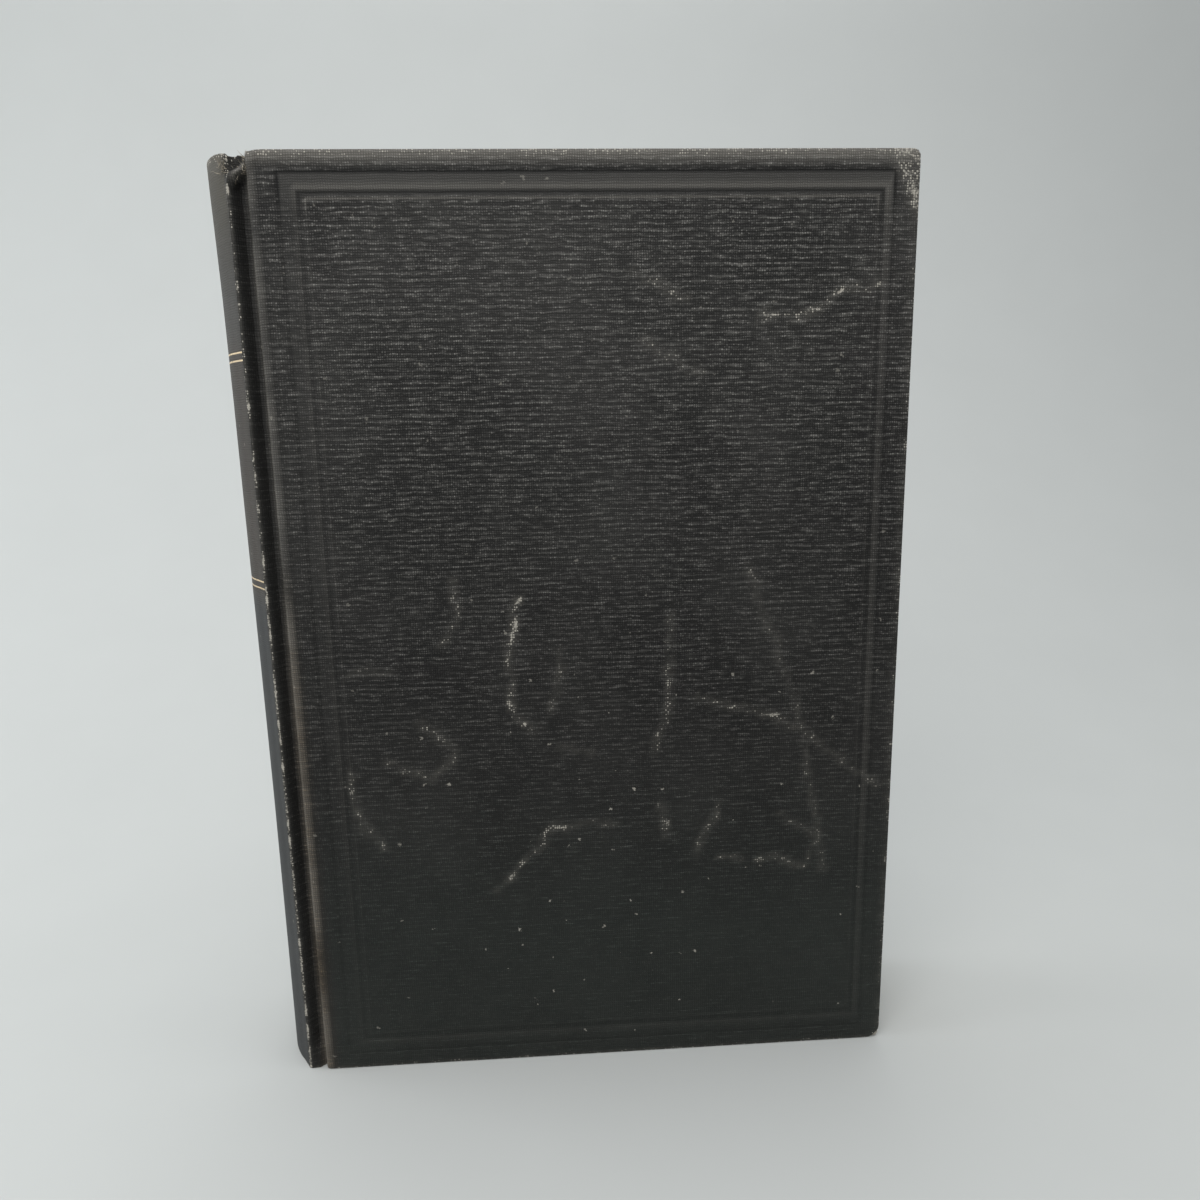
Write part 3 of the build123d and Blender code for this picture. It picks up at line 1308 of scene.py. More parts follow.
@dataclass
class CoverWear:
    """Where one side of the case is rubbed, tinted, torn and crumpled, and where painted shade and
    highlight fall on it.
    """

    book: BookFrame
    side: Side
    scuffs: tuple[tuple[float, tuple[tuple[float, float], ...]], ...] = ()
    head_tint: tuple[float, float, float] = (2.0, 1.85, 1.5)
    panel_tint: tuple[float, float, float] = (1.5, 1.3, 1.15)
    lower_tint: tuple[float, float, float] = (0.95, 1.04, 1.16)
    end_fill: float = 2.2
    ridge_gap: float = -4.35
    ridge_depth: float = 16.4
    fold_height: float = 229.6
    fold_slope: float = 0.95
    fold_root: float = 2.8
    scuff_gain: float = 1.45
    scuff_patches: float = 0.36
    scuff_reach: tuple[float, float] = (1.9, 0.1)

    def crumple(self, solid: Points) -> Points:
        """Crumple the cloth at the head of the front joint and fray the head of the spine.

        Args:
            solid: The folded places.

        Returns:
            The crumpled places.
        """
        bent = solid.copy()
        x, a, z = np.moveaxis(bent, -1, 0)
        offset = x - self.book.joint_edge
        hollow = np.clip(1 - np.abs(offset + 1.9) / 2.3, 0, 1) * (a > 0)
        fill = smooth(z, 9.0, 0.6) + 0.45 * smooth(z, 226.0, 234.0)
        bent[..., 1] += self.end_fill * hollow * fill * (offset < -0.02)
        if self.side is not Side.FRONT:
            return bent
        near = (z > 224) & (offset < 3.2) & (offset > -9.0) & (a > 13.0)
        if not near.any():
            return bent
        spots = solid[near]
        head = smooth(spots[:, 2], 225.5, 229.0)
        gap = spots[:, 0] - self.book.joint_edge
        in_groove = smooth(gap, -5.0, -3.2) * smooth(gap, 0.3, -0.4)
        above = spots[:, 2] - self._fold_line(gap)
        crease = cloud(spots, 1.5, 3.3)
        lift = head * in_groove * (2.5 * bell(above, 0.0, 1.25) + 0.45 * crease)
        hollow = head * bell(gap, -3.2, 1.4) * smooth(above, 1.2, 2.6)
        bent[near, 1] += np.minimum(lift - 1.1 * hollow, self.book.outside - 0.05 - spots[:, 1])
        bent[near, 0] += head * in_groove * 0.5 * cloud(spots, 2.1, 7.7)
        sag = smooth(spots[:, 2], 230.0, 235.0) * bell(gap, -2.6, 3.4)
        bent[near, 2] -= sag * (0.9 + 0.8 * cloud(spots, 1.3, 1.9))
        return bent

    def paint(self, solid: Points, inset: Points, round_part: Points) -> dict[str, Points]:
        """Work out what the shader reads at each vertex.

        Args:
            solid: The folded places.
            inset: Distance in from the cover's edges, scaled to the blind lines.
            round_part: 1 on the round of the spine.

        Returns:
            A grid for each attribute.
        """
        shape = inset.shape
        places = solid.reshape(-1, 3)
        x, _, z = places.T
        rub = self._rub(places).reshape(shape)
        band = smooth(inset, 10.1, 9.6) * smooth(inset, 4.6, 5.4)
        high = smooth(z, 219, 227).reshape(shape)
        band *= 0.16 + 0.64 * high
        calendered = np.where(inset > 0, band, np.maximum(round_part, 0.35))
        # Towards the tail the weave is flattened, so its relief and the painted highlight on its
        # tops grow weaker, as less light falls there.
        low_down = smooth(z, 118, 20).reshape(shape)
        calendered = np.maximum(calendered, 0.62 * low_down * (inset > 0))
        if self.side is Side.BACK:
            calendered = np.where(inset > 0, 0.15, np.maximum(round_part, 0.35))
        specked = 0.4 + 0.6 * smooth(z, 150, 60) * smooth(x, -70, -20)
        deep, pale = self._tooled_shade_and_highlight(inset, z.reshape(shape))
        torn_shade, torn_highlight_and_rub = self._torn_shade_and_highlight(places)
        # pale gathers the painted highlight on the raised lines, the fold's crest and the head
        # edge, with the paler joint edge and the rubbed corner.
        pale = np.maximum.reduce([pale, self._pale_joint_and_head_highlight(places).reshape(shape),
                                  torn_highlight_and_rub.reshape(shape)])
        tint = self._tint_and_painted_light(places).reshape(*shape, 3)
        # The tint also takes the painted shade of the pressed lines and of the torn fold.
        tint *= ((1 - deep) * (1 - torn_shade.reshape(shape)))[..., None]
        return {"rub": rub, "round_part": round_part * 1.0, "calendered": calendered,
                "specked": specked.reshape(shape), "pale": pale, "tint": tint}

    def _tooled_shade_and_highlight(self, inset: Points, z: Points) -> tuple[Points, Points]:
        """Painted shade in the pressed blind lines and painted highlight on the raised ones.

        Args:
            inset: Distance in from the cover's edges, scaled to the blind lines.
            z: Heights.

        Returns:
            How much painted shade darkens the pressed lines, and how pale the painted highlight
            makes the raised ones.
        """
        if self.side is Side.BACK:
            return 0 * inset, 0 * inset
        # The painted shade and highlight are strongest near the head and weakest near the tail, as
        # the light falls from above.
        high = smooth(z, 219, 227)
        strength = 0.36 + 0.64 * high - 0.2 * smooth(z, 110, 20)
        deep = 0.95 * bell(inset, 5.0, 0.42) + 0.75 * bell(inset, 9.0, 0.5)
        pale = 0.62 * bell(inset, 10.3, 0.24) * (0.2 + 0.8 * high)
        pale += 0.3 * bell(inset, 8.0, 0.4) + 0.14 * bell(inset, 6.3, 0.5)
        return deep * strength, pale * strength

    def _pale_joint_and_head_highlight(self, places: Points) -> Points:
        """Where the cloth is paler along the board's joint edge, and a painted highlight along the
        head edge.

        Args:
            places: The folded places, one a row.

        Returns:
            How pale, from 0 to 1.
        """
        x, _, z = places.T
        gap = x - self.book.joint_edge
        along = np.stack([0 * z + 9, 0 * z, z], axis=1)
        streak = np.clip(0.62 + 0.8 * cloud(along, 15.0, 2.0) + 0.4 * cloud(along, 3.5, 5.0), 0, 1)
        joint = 0.58 * bell(gap, 0.1, 0.9) + 0.42 * bell(gap, 1.7, 0.5)
        # Painted highlight along the cover's rounded head edge, where light from above catches it.
        head = 0.42 * smooth(z, 230.8, 234.2) * smooth(gap, -0.5, 0.5)
        return np.maximum(joint * streak * (gap > -1.2), head)

    def _torn_shade_and_highlight(self, places: Points) -> tuple[Points, Points]:
        """Painted shade and highlight of the torn and folded cloth at the head of the front joint,
        and its pale rubbed corner.

        Args:
            places: The folded places, one a row.

        Returns:
            How much painted shade darkens each place, and how pale the painted highlight and the
            rubbed corner make it.
        """
        x, y, z = places.T
        gap = x - self.book.joint_edge
        if self.side is Side.BACK:
            return 0 * x, 0 * x
        front = y > 0
        above = z - self._fold_line(gap)
        # Painted shade in the hollow above the fold and in the shadow under it.
        hollow = smooth(above, 0.8, 1.8) * smooth(gap, -5.4, -4.4) * smooth(gap, 0.2, -0.8)
        shade = bell(above, -2.2, 1.1) * smooth(gap, -4.6, -3.4) * smooth(gap, 7.5, 2.5)
        deep = np.clip(0.93 * hollow + 0.8 * shade, 0, 0.95) * smooth(z, 224.5, 227.5)
        # Painted highlight on the fold's crest; the board's corner beside it is rubbed pale.
        crest = bell(above, 0.0, 1.0) * smooth(gap, -4.2, -2.6) * smooth(gap, 3.4, 1.6)
        corner = 0.6 * smooth(gap, -1.0, 0.2) * smooth(gap, 3.6, 1.6) * smooth(above, -1.6, -0.4)
        rough = 0.7 + 0.6 * cloud(places, 1.3, 8.0)
        pale = np.maximum(0.8 * crest, corner) * rough * smooth(z, 226.5, 228.5)
        return deep * front, np.clip(pale, 0, 1) * front

    def _fold_line(self, gap: Points) -> Points:
        """Height of the crest of the torn cloth's fold, which rises towards the board."""
        return self.fold_height + self.fold_slope * (gap + self.fold_root)

    def _tint_and_painted_light(self, places: Points) -> Points:
        """Colour of each stretch of the spine and joints against the cover's black, with painted
        shade in the joint groove and painted light falling off from head to tail on the cover.

        Args:
            places: The folded places, one a row.

        Returns:
            A colour factor for each place.
        """
        x, _, z = places.T
        gap = x - self.book.joint_edge
        tint = np.ones((len(places), 3))
        on_spine = smooth(gap, -4.4, -5.2)
        head = smooth(z, 200, 232)
        panel = smooth(z, 130, 137) * smooth(z, 196, 190)
        lower = smooth(z, 134, 128)
        spine = np.ones((len(places), 3)) * np.array([1.55, 1.5, 1.45])
        for share, colour in ((head, self.head_tint), (panel, self.panel_tint),
                              (lower, self.lower_tint)):
            spine = spine * (1 - share[:, None]) + np.array(colour) * share[:, None]
        tint = tint * (1 - on_spine[:, None]) + spine * on_spine[:, None]
        # Painted shade: darker in the joint groove and on the board just beside it.
        groove = np.clip(bell(gap, -2.7, 1.6) + 0.7 * bell(gap, 2.7, 0.5), 0, 1)
        tint *= (1 - 0.62 * groove)[:, None]
        brown = smooth(z, 150, 90) * bell(gap, 0.5, 1.6)
        tint *= 1 + brown[:, None] * np.array([1.5, 0.9, 0.25])
        # Painted light: on the cover, darker towards the tail and lighter towards the head, as the
        # light falls from above.
        fade = 0.68 + 0.8 * smooth(z, 80, 225)
        tint *= (1 + (fade - 1) * smooth(gap, -1.0, 2.0))[:, None]
        cool = smooth(z, 95, 30)[:, None] * smooth(gap, 2.0, 5.0)[:, None]
        tint = tint * (1 + cool * np.array([-0.14, 0.05, -0.02]))
        return tint

    def _rub(self, places: Points) -> Points:
        """How hard each place has been rubbed, from 0 to 1.

        Args:
            places: The folded places, one a row.

        Returns:
            The rub at each place.
        """
        x, y, z = places.T
        book = self.book
        gap, to_fore, to_head = x - book.joint_edge, book.fore_edge - x, book.height - z
        rub = 0.05 + 0.05 * smooth(z, 60, 0)
        along = np.stack([0 * z, 0 * z, z], axis=1)
        broken = 0.45 + 0.5 * cloud(along, 8.0, 11.0) + 0.7 * cloud(along, 2.3, 4.0)
        ridge = bell(gap, self.ridge_gap, 0.55) * (np.abs(y) > self.ridge_depth)
        ridge *= 0.36 + 0.56 * np.clip(broken + 0.25 * smooth(z, 160, 130), 0, 1)
        rub = np.maximum(rub, ridge)
        rub = np.maximum(rub, 0.30 * bell(gap, 0.0, 0.7) * np.clip(broken + 0.4, 0, 1))
        # The head edge is rubbed, and the rub here is made strong to paint the highlight where
        # light from above catches the rounded edge.
        rub = np.maximum(rub, 0.58 * smooth(to_head, 3.6, 0.4) * (gap > -1))
        rub = np.maximum(rub, 0.6 * smooth(z, 1.6, 0.1) * np.clip(broken + 0.5, 0, 1))
        rub = np.maximum(rub, 0.6 * smooth(to_fore, 2.4, 0.3) * np.clip(broken + 0.3, 0, 1))
        if self.side is Side.FRONT:
            corner = smooth(to_fore + 0.42 * to_head, 9.5, 6.0) * smooth(to_head, 19, 14)
            rub = np.maximum(rub, 0.7 * corner * (to_fore > -1))
            head_cap = smooth(to_head, 6.0, 0.5) * smooth(gap, -1.0, -3.0)
            rub = np.maximum(rub, 0.60 * head_cap)
            torn = smooth(to_head, 6.5, 3.0) * bell(gap, 0.8, 1.5)
            rub = np.maximum(rub, 0.52 * torn)
            crushed = smooth(np.hypot(to_fore, z), 5.0, 1.5)
            rub = np.maximum(rub, 0.45 * crushed)
            strayed = np.stack([x, 0 * x, z], axis=1)
            patchy = cloud(strayed, 3.2, 6.0)
            across = x + 1.5 * cloud(strayed, 5.0, 21.0) + 0.7 * cloud(strayed, 1.8, 24.0)
            upward = z + 1.5 * cloud(strayed, 5.0, 31.0) + 0.7 * cloud(strayed, 1.8, 34.0)
            for strength, line in self.scuffs:
                near = self._near_line(across, upward, line) * (gap > 1)
                force = self.scuff_gain * strength + self.scuff_patches * patchy
                rub = np.maximum(rub, force * near)
        else:
            for z_end in (0.0, book.height):
                corner = smooth(np.hypot(to_fore, z - z_end), 6.0, 1.5)
                rub = np.maximum(rub, 0.42 * corner)
        return rub

    def _near_line(self, x: Points, z: Points, line: Sequence[tuple[float, float]]) -> Points:
        """A soft band along a bent line on the cover.

        Args:
            x: Places along the book.
            z: Heights.
            line: Corners of the line, from the cover's joint edge and from the tail.

        Returns:
            1 on the line, falling to 0 about 1.5 mm away.
        """
        best = np.full(len(x), 1e9)
        for (x0, z0), (x1, z1) in zip(line, line[1:]):
            ax, bx = self.book.joint_edge + x0, self.book.joint_edge + x1
            run = np.array([bx - ax, z1 - z0])
            share = ((x - ax) * run[0] + (z - z0) * run[1]) / (run @ run)
            share = np.clip(share, 0, 1)
            best = np.minimum(best, np.hypot(x - ax - share * run[0], z - z0 - share * run[1]))
        return smooth(best, *self.scuff_reach)


# ---------------------------------------------------------------- inside the case


@dataclass
class SpineLinings:
    """Card, kraft paper, mull and band tapes, which have sunk in with the old spine."""

    book: BookFrame
    levels: int = 14

    def make(self) -> list[bpy.types.Object]:
        """Copy each lining of the frame and sink it in with the spine.

        Returns:
            The five copies.
        """
        finishes = {"spine_inlay": SPINE_CARD, "spine_lining": KRAFT, "spine_mull": MULL,
                    "head_band": BARE_THREAD, "tail_band": BARE_THREAD}
        return [self._sunk(node, finish) for node, finish in finishes.items()]

    def _sunk(self, node: str, finish: Finish) -> bpy.types.Object:
        """A merged copy of a node, cut into bands and moved in.

        Args:
            node: The frame's node.
            finish: Its material.

        Returns:
            The copy, on the leaves' body.
        """
        bm = bmesh.new()
        bm.from_mesh(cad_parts[node].data)
        bmesh.ops.scale(bm, vec=(1 / MM,) * 3, verts=bm.verts)
        bmesh.ops.remove_doubles(bm, verts=bm.verts, dist=0.001)
        for level in np.linspace(0, self.book.height, self.levels):
            whole = [*bm.verts, *bm.edges, *bm.faces]
            bmesh.ops.bisect_plane(bm, geom=whole, dist=1e-4, plane_co=(0, 0, level),
                                   plane_no=(0, 0, 1))
        for vert in bm.verts:
            vert.co.x += float(self.book.spine_slump(vert.co.x, vert.co.z))
        piece = new_piece(f"{node}_sunk", bm, finish)
        shade_flat(piece)
        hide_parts(node)
        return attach(piece, "book_block")


@dataclass
class SewnBand:
    """Thread sewn over a core, at one end of the leaves' spine."""

    book: BookFrame
    at_head: bool
    core: float = 0.84
    ring: float = 20.215
    stitches: int = 62
    steps: int = 6

    def make(self) -> bpy.types.Object:
        """Spin a round core about the spine's axis and gather it at each stitch.

        Returns:
            The band's thread.
        """
        low, high = (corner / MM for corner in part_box(f"{self._end}_band"))
        level = high.z - self.core if self.at_head else low.z + self.core
        half = math.asin(high.y / self.ring) - math.radians(3)
        axis = Vector((self.book.spine_x, 0, level))
        bm = bmesh.new()
        start = bmesh.ops.create_circle(bm, segments=10, radius=self.core)["verts"]
        turn = Matrix.Rotation(math.pi / 2, 3, "X")
        bmesh.ops.rotate(bm, cent=(0, 0, 0), matrix=turn, verts=start)
        bmesh.ops.translate(bm, vec=axis + Vector((-self.ring, 0, 0)), verts=start)
        bmesh.ops.rotate(bm, cent=axis, matrix=Matrix.Rotation(-half, 3, "Z"), verts=start)
        edges = edges_of(start)
        bmesh.ops.spin(bm, geom=start + edges, cent=axis, axis=(0, 0, 1), angle=2 * half,
                       steps=self.stitches * self.steps, use_duplicate=False)
        for vert in bm.verts:
            arm = vert.co - axis
            around = math.atan2(arm.y, -arm.x)
            middle = axis + Vector((-math.cos(around), math.sin(around), 0)) * self.ring
            wrap = abs(math.sin(around / (2 * half) * math.pi * self.stitches))
            vert.co = middle + (vert.co - middle) * (0.84 + 0.18 * wrap)
            vert.co.x += float(self.book.spine_slump(vert.co.x, level))
        ends = [edge for edge in bm.edges if edge.is_boundary]
        bmesh.ops.holes_fill(bm, edges=ends, sides=0)
        bmesh.ops.recalc_face_normals(bm, faces=bm.faces)
        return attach(new_piece(f"{self._end}_band_thread", bm, BARE_THREAD), "book_block")

    @property
    def _end(self) -> str:
        """Which end the band is at."""
        return "head" if self.at_head else "tail"


@dataclass
class LeafBlock:
    """The leaves in their sewn gatherings, rounded, backed and trimmed."""

    book: BookFrame
    gatherings: int = 40
    hollow: float = 6.0
    round_radius: float = 20.615
    shoulder: float = 16.05
    fan_start: float = 2.6
    fan_end: float = 3.7
    leaf_gap: float = 0.035
    seed: int = 5

    def make(self) -> bpy.types.Object:
        """Stack the gatherings as thin slabs.

        Returns:
            The leaves, on their body.
        """
        book, draw = self.book, random.Random(self.seed)
        half = -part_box("front_flyleaf")[1].y / MM
        pitch = 2 * half / self.gatherings
        trimmed = (half ** 2 + self.hollow ** 2) / (2 * self.hollow)
        near = np.array([0, 0.35, 0.7, 1.05, 1.4, 2.2, 5.0, 10.0, 25.0])
        shares = np.array([0.36, 0.56, 0.76, 0.9, 0.97, 1.0])
        levels = np.array([0, 0.01, 0.03, 0.06, 0.14, 0.26, 0.4, 0.55, 0.7, 0.83, 0.93, 0.98, 1.0])
        bm = bmesh.new()
        for number in range(self.gatherings):
            rest = -half + (number + 0.5) * pitch
            fore = book.leaf_high.x + trimmed - self.hollow - math.sqrt(trimmed ** 2 - rest ** 2)
            fore -= draw.uniform(0.0, 0.3)
            fanned = rest * self.shoulder / half
            root = book.spine_x - math.sqrt(self.round_radius ** 2 - fanned ** 2) + 0.1
            tail, head = draw.uniform(0, 0.16), draw.uniform(0, 0.2)
            xs = np.concatenate([root + near, root + (fore - root) * shares])
            for vert in flat_grid(bm, len(xs), len(levels)):
                x, level = xs[round(vert.co.x)], levels[round(vert.co.y)]
                z = book.leaf_low.z + tail + (book.leaf_high.z - book.leaf_low.z
                                              - tail - head) * level
                x += float(book.spine_slump(x, z))
                fan = float(smooth(x, book.joint_edge - self.fan_start,
                                   book.joint_edge - self.fan_end))
                vert.co = (x, rest + (fanned - rest) * fan, z)
        bmesh.ops.recalc_face_normals(bm, faces=bm.faces)
        piece = new_piece("leaves_in_gatherings", bm, LEAVES)
        thicken(piece, pitch - self.leaf_gap, offset=0.0)
        shade_flat(piece)
        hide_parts("text_block")
        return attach(piece, "book_block")


@dataclass
class Endpaper:
    """An endpaper from its root on the leaves, over the inner joint and on to the board."""

    book: BookFrame
    side: Side
    thickness: float = 0.14
    rise: float = 0.27
    turn_in: float = 15.0
    blend_start: float = 3.2
    blend_end: float = 0.3

    def make(self) -> bpy.types.Object:
        """Lay the sheet over joint and board, with the turn-ins' edges showing through.

        Returns:
            The endpaper, laid over the inner joint.
        """
        book, side = self.book, self.side.label
        low, high = (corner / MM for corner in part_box(f"{side}_pastedown"))
        inner = min(abs(low.y), abs(high.y))
        near = list(np.linspace(-3.3, 1.4, 22)) + [2.5, 4.5, 8.0]
        far = list(np.linspace(12.0, high.x - book.joint_edge, 60))
        xs = np.array(near + far) + book.joint_edge
        zs = np.linspace(low.z, high.z, 80)
        bm = bmesh.new()
        for vert in flat_grid(bm, len(xs), len(zs)):
            x, z = xs[round(vert.co.x)], zs[round(vert.co.y)]
            gap = x - book.joint_edge
            hinge = float(smooth(gap, 0.8, -2.4))
            from_edge = min(book.fore_edge - x, z, book.height - z)
            covered = float(smooth(from_edge, self.turn_in + 1.2, self.turn_in - 0.6))
            depth = inner + 0.11 * (1 - covered) * (1 - hinge) - 0.13 * hinge
            vert.co = (x, (depth + self.thickness) * self.side.value, z)
        bmesh.ops.recalc_face_normals(bm, faces=bm.faces)
        facing = sum(face.normal.y for face in bm.faces)
        if facing * self.side.value < 0:
            bmesh.ops.reverse_faces(bm, faces=bm.faces)
        piece = new_piece(f"{side}_endpaper", bm, ENDPAPER)
        thicken(piece, self.thickness)
        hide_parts(f"{side}_pastedown")
        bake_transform(piece)
        return piece


@dataclass
class FrayedHead:
    """Loose threads where the cloth has torn at the head of the front joint."""

    book: BookFrame
    strands: int = 46
    seed: int = 21
    ridge_share: float = 0.55
    ridge_depth: float = 17.3
    ridge_height: float = 231.6
    fold_height: float = 229.8
    fold_slope: float = 0.95
    fold_root: float = 2.8

    def make(self) -> bpy.types.Object:
        """Draw out thin tapering strands from the torn edge.

        Returns:
            The threads, on the leaves' body.
        """
        draw, bm = random.Random(self.seed), bmesh.new()
        for _ in range(self.strands):
            at_ridge = draw.random() < self.ridge_share
            gap = draw.uniform(-6.2, -4.4) if at_ridge else draw.uniform(-2.8, 0.4)
            depth = self.ridge_depth if at_ridge else self.book.floor + draw.uniform(1.6, 2.6)
            fold = self.fold_height + self.fold_slope * (gap + self.fold_root)
            height = self.ridge_height if at_ridge else fold
            start = Vector((self.book.joint_edge + gap, -depth, height + draw.uniform(-1.6, 1.4)))
            heading = Vector((draw.uniform(-0.7, 0.7), draw.uniform(-0.6, 0.4),
                              draw.uniform(-0.5, 0.9))).normalized()
            self._strand(bm, draw, start, heading)
        bmesh.ops.recalc_face_normals(bm, faces=bm.faces)
        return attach(new_piece("frayed_head_threads", bm, BARE_THREAD), "book_block")

    def _strand(self, bm: bmesh.types.BMesh, draw: random.Random, start: Vector,
                heading: Vector) -> None:
        """Extrude one strand step by step.

        Args:
            bm: The mesh to add to.
            draw: The source of the strand's bends.
            start: Its root.
            heading: Its first direction.
        """
        radius, length = draw.uniform(0.05, 0.11), draw.uniform(0.2, 0.45)
        ring = bmesh.ops.create_circle(bm, segments=5, radius=radius)["verts"]
        turn = heading.to_track_quat("Z", "Y").to_matrix()
        bmesh.ops.rotate(bm, cent=(0, 0, 0), matrix=turn, verts=ring)
        bmesh.ops.translate(bm, vec=start, verts=ring)
        edges = edges_of(ring)
        middle = start.copy()
        for _ in range(draw.randint(3, 6)):
            bend = Vector([draw.uniform(-0.4, 0.4) for _ in range(3)])
            heading = (heading + bend).normalized()
            grown = bmesh.ops.extrude_edge_only(bm, edges=edges)["geom"]
            ring = [part for part in grown if isinstance(part, bmesh.types.BMVert)]
            edges = [part for part in grown if isinstance(part, bmesh.types.BMEdge)]
            bmesh.ops.translate(bm, vec=heading * length, verts=ring)
            middle += heading * length
            shrink = Matrix.Translation(middle) @ Matrix.Scale(0.8, 4) @ Matrix.Translation(-middle)
            bmesh.ops.transform(bm, matrix=shrink, verts=ring)


# ---------------------------------------------------------------- the stage


@dataclass
class Stage:
    """A plain pale floor that rises behind, soft lights and the camera."""

    camera_place: tuple[float, float, float] = (-0.00535, -0.23574, 0.17314)
    yaw: float = 0.05702
    pitch: float = 0.19735
    roll: float = 0.01941
    lens: float = 26.4
    floor_front: float = -1200.0
    floor_half_width: float = 1800.0
    bend_start: float = 60.0
    bend_radius: float = 480.0
    bend_steps: int = 16
    wall_height: float = 2400.0

    def make(self) -> None:
        """Set up floor, lights, sky and camera."""
        self._floor()
        self._light("front_key", (-0.16, -0.46, 0.62), (0.5, 0.4), 2.3, (1.0, 0.985, 0.965))
        self._light("overhead", (0.05, 0.04, 0.98), (0.9, 0.7), 4.6, (0.98, 0.99, 1.0))
        self._light("left_fill", (-0.85, 0.06, 0.38), (0.6, 0.6), 3.0, (0.96, 0.985, 1.0))
        self._sky(0.42)
        self._camera()

    def _floor(self) -> None:
        """Sweep floor and wall from one sheet."""
        profile = [(self.floor_front, 0.0), (0.0, 0.0), (self.bend_start, 0.0)]
        for step in range(1, self.bend_steps + 1):
            turn = step / self.bend_steps * math.pi / 2
            profile.append((self.bend_start + self.bend_radius * math.sin(turn),
                            self.bend_radius * (1 - math.cos(turn))))
        profile.append((self.bend_start + self.bend_radius, self.wall_height))
        bm = bmesh.new()
        for vert in flat_grid(bm, 3, len(profile)):
            y, z = profile[round(vert.co.y)]
            vert.co = ((vert.co.x - 1) * self.floor_half_width, y, z)
        new_piece("plain_floor", bm, STAGE)

    def _light(self, name: str, place: tuple[float, float, float], size: tuple[float, float],
               power: float, colour: tuple[float, float, float]) -> None:
        """Add a soft area light that looks at the book.

        Args:
            name: The light's name.
            place: Where it hangs.
            size: Its width and height.
            power: Watts.
            colour: Its tint.
        """
        data = bpy.data.lights.new(name, "AREA")
        data.shape, data.energy, data.color = "RECTANGLE", power, colour
        data.size, data.size_y = size
        lamp = bpy.data.objects.new(name, data)
        lamp.location = place
        aim = Vector((0.0, 0.0, 0.11)) - Vector(place)
        lamp.rotation_euler = aim.to_track_quat("-Z", "Y").to_euler()
        bpy.context.scene.collection.objects.link(lamp)

    def _sky(self, strength: float) -> None:
        """Even light from all round.

        Args:
            strength: How bright.
        """
        world = bpy.data.worlds.new("studio")
        bpy.context.scene.world = world
        world.use_nodes = True
        back = world.node_tree.nodes["Background"]
        back.inputs["Color"].default_value = (0.95, 0.98, 1.0, 1.0)
        back.inputs["Strength"].default_value = strength

    def _camera(self) -> None:
        """Place the camera by its yaw, pitch and roll."""
        forward = Vector((math.sin(self.yaw) * math.cos(self.pitch),
                          math.cos(self.yaw) * math.cos(self.pitch), -math.sin(self.pitch)))
        right = Vector((math.cos(self.yaw), -math.sin(self.yaw), 0.0))
        down = forward.cross(right)
        across = right * math.cos(self.roll) + down * math.sin(self.roll)
        drop = down * math.cos(self.roll) - right * math.sin(self.roll)
        turn = Matrix((across, -drop, -forward)).transposed()
        data = bpy.data.cameras.new("camera")
        data.lens, data.sensor_width, data.clip_start = self.lens, 36.0, 0.01
        camera = bpy.data.objects.new("camera", data)
        camera.matrix_world = Matrix.Translation(self.camera_place) @ turn.to_4x4()
        bpy.context.scene.collection.objects.link(camera)
        bpy.context.scene.camera = camera
        bpy.context.scene.view_settings.view_transform = "Standard"


# ---------------------------------------------------------------- the whole


def dress_nodes() -> None:
    """Give the frame's own nodes, which stay as they are, their materials."""
    finishes = {
        "front_flyleaf": ENDPAPER, "back_flyleaf": ENDPAPER, "front_board": BOARD,
        "back_board": BOARD, "front_mull_flange": MULL, "back_mull_flange": MULL,
    }
    for node, finish in finishes.items():
        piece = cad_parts[node]
        piece.data.materials.clear()
        piece.data.materials.append(finish.material())
        log.info("dressed %s with %s", node, finish.name)


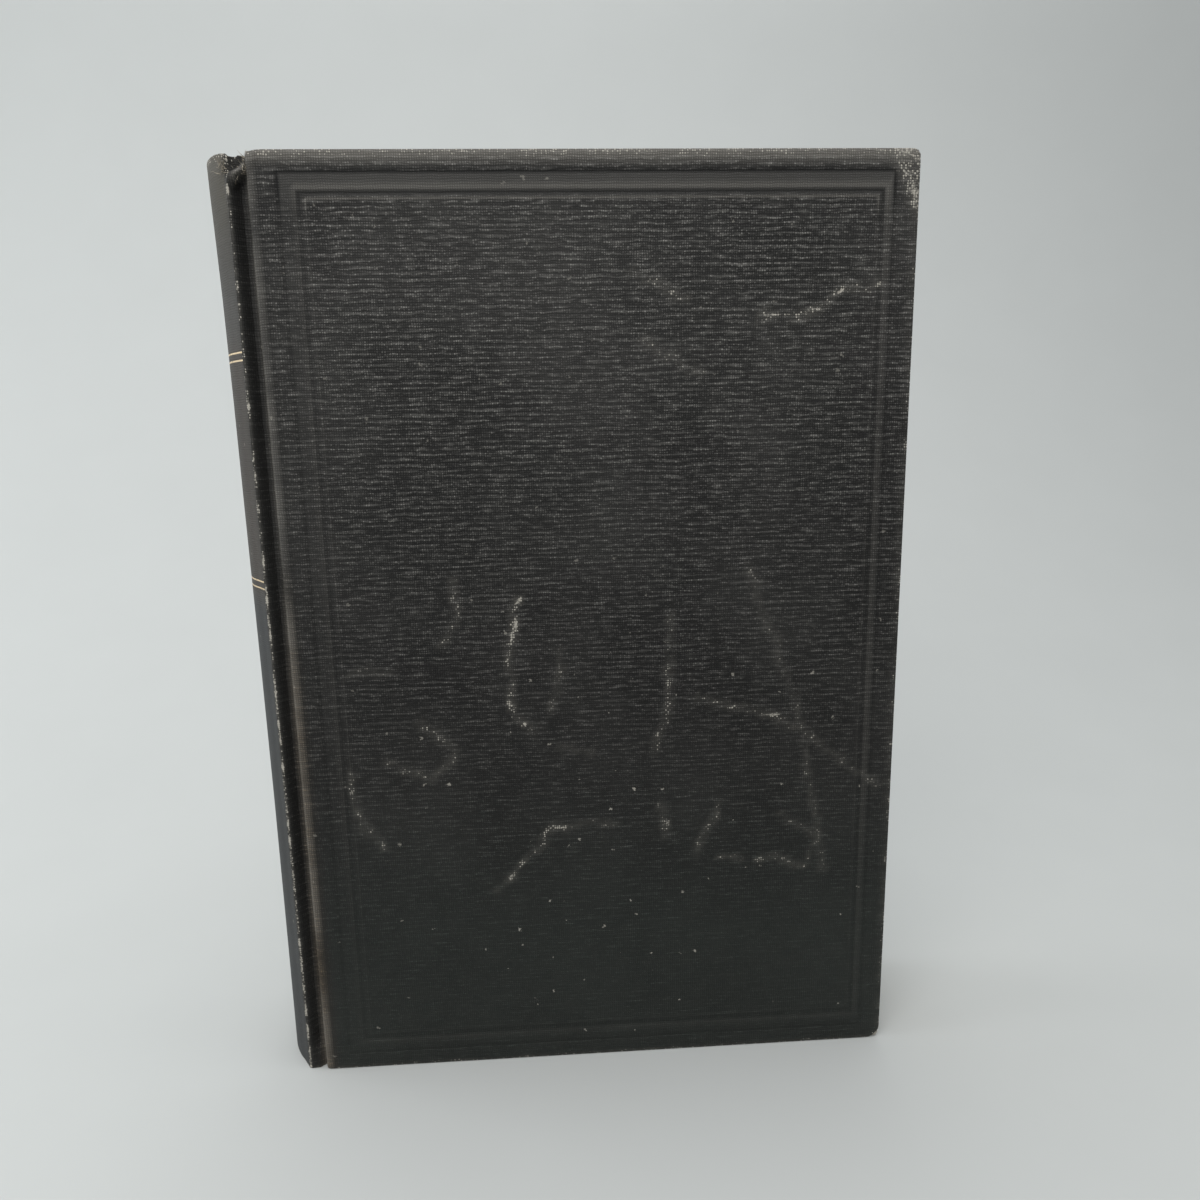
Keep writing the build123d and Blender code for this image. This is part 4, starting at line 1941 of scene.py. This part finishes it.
FRONT_SCUFFS = (
    (0.50, ((118.2, 198.0), (129.2, 197.6), (136.2, 203.4), (146.2, 204.6))),
    (0.40, ((87.2, 208.0), (100.6, 202.0))),
    (0.36, ((89.2, 193.0), (103.2, 184.0))),
    (0.34, ((115.6, 137.4), (130.6, 94.6), (137.2, 53.0))),
    (0.40, ((103.2, 102.4), (117.2, 99.0), (129.2, 94.0), (151.2, 77.0))),
    (0.38, ((95.8, 125.0), (95.2, 99.0), (91.6, 89.0))),
    (0.50, ((57.2, 130.0), (54.2, 115.0), (55.2, 101.0), (59.8, 94.6))),
    (0.36, ((68.2, 118.0), (65.2, 101.0))),
    (0.36, ((67.2, 90.6), (74.8, 89.0))),
    (0.38, ((41.6, 137.0), (42.2, 125.0), (37.2, 119.0))),
    (0.34, ((14.2, 112.6), (26.2, 113.0))),
    (0.36, ((31.2, 99.0), (40.2, 91.0), (33.2, 84.0), (22.2, 89.0))),
    (0.34, ((12.2, 87.0), (15.2, 69.0))),
    (0.34, ((15.2, 73.0), (20.2, 64.0))),
    (0.40, ((81.2, 69.0), (65.2, 69.0), (49.2, 51.0))),
    (0.34, ((109.2, 74.0), (102.2, 59.0))),
    (0.34, ((109.2, 57.6), (115.2, 57.4))),
    (0.38, ((120.2, 57.6), (132.2, 54.6), (136.2, 63.0), (125.2, 70.0))),
    (0.34, ((93.2, 75.0), (94.2, 65.0))),
)


def main() -> None:
    """Build the book's looks piece by piece."""
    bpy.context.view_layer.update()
    book = BookFrame.read()
    made = [
        CaseCloth(book, Side.FRONT).make(CoverWear(book, Side.FRONT, FRONT_SCUFFS)),
        CaseCloth(book, Side.BACK).make(CoverWear(book, Side.BACK)),
        LeafBlock(book).make(),
        *SpineLinings(book).make(),
        SewnBand(book, True).make(),
        SewnBand(book, False).make(),
        Endpaper(book, Side.FRONT).make(),
        Endpaper(book, Side.BACK).make(),
        FrayedHead(book).make(),
    ]
    for piece in made:
        log.info("built %s, %d faces", piece.name, len(piece.data.polygons))
    dress_nodes()
    Stage().make()


if __name__ == "__main__":
    main()
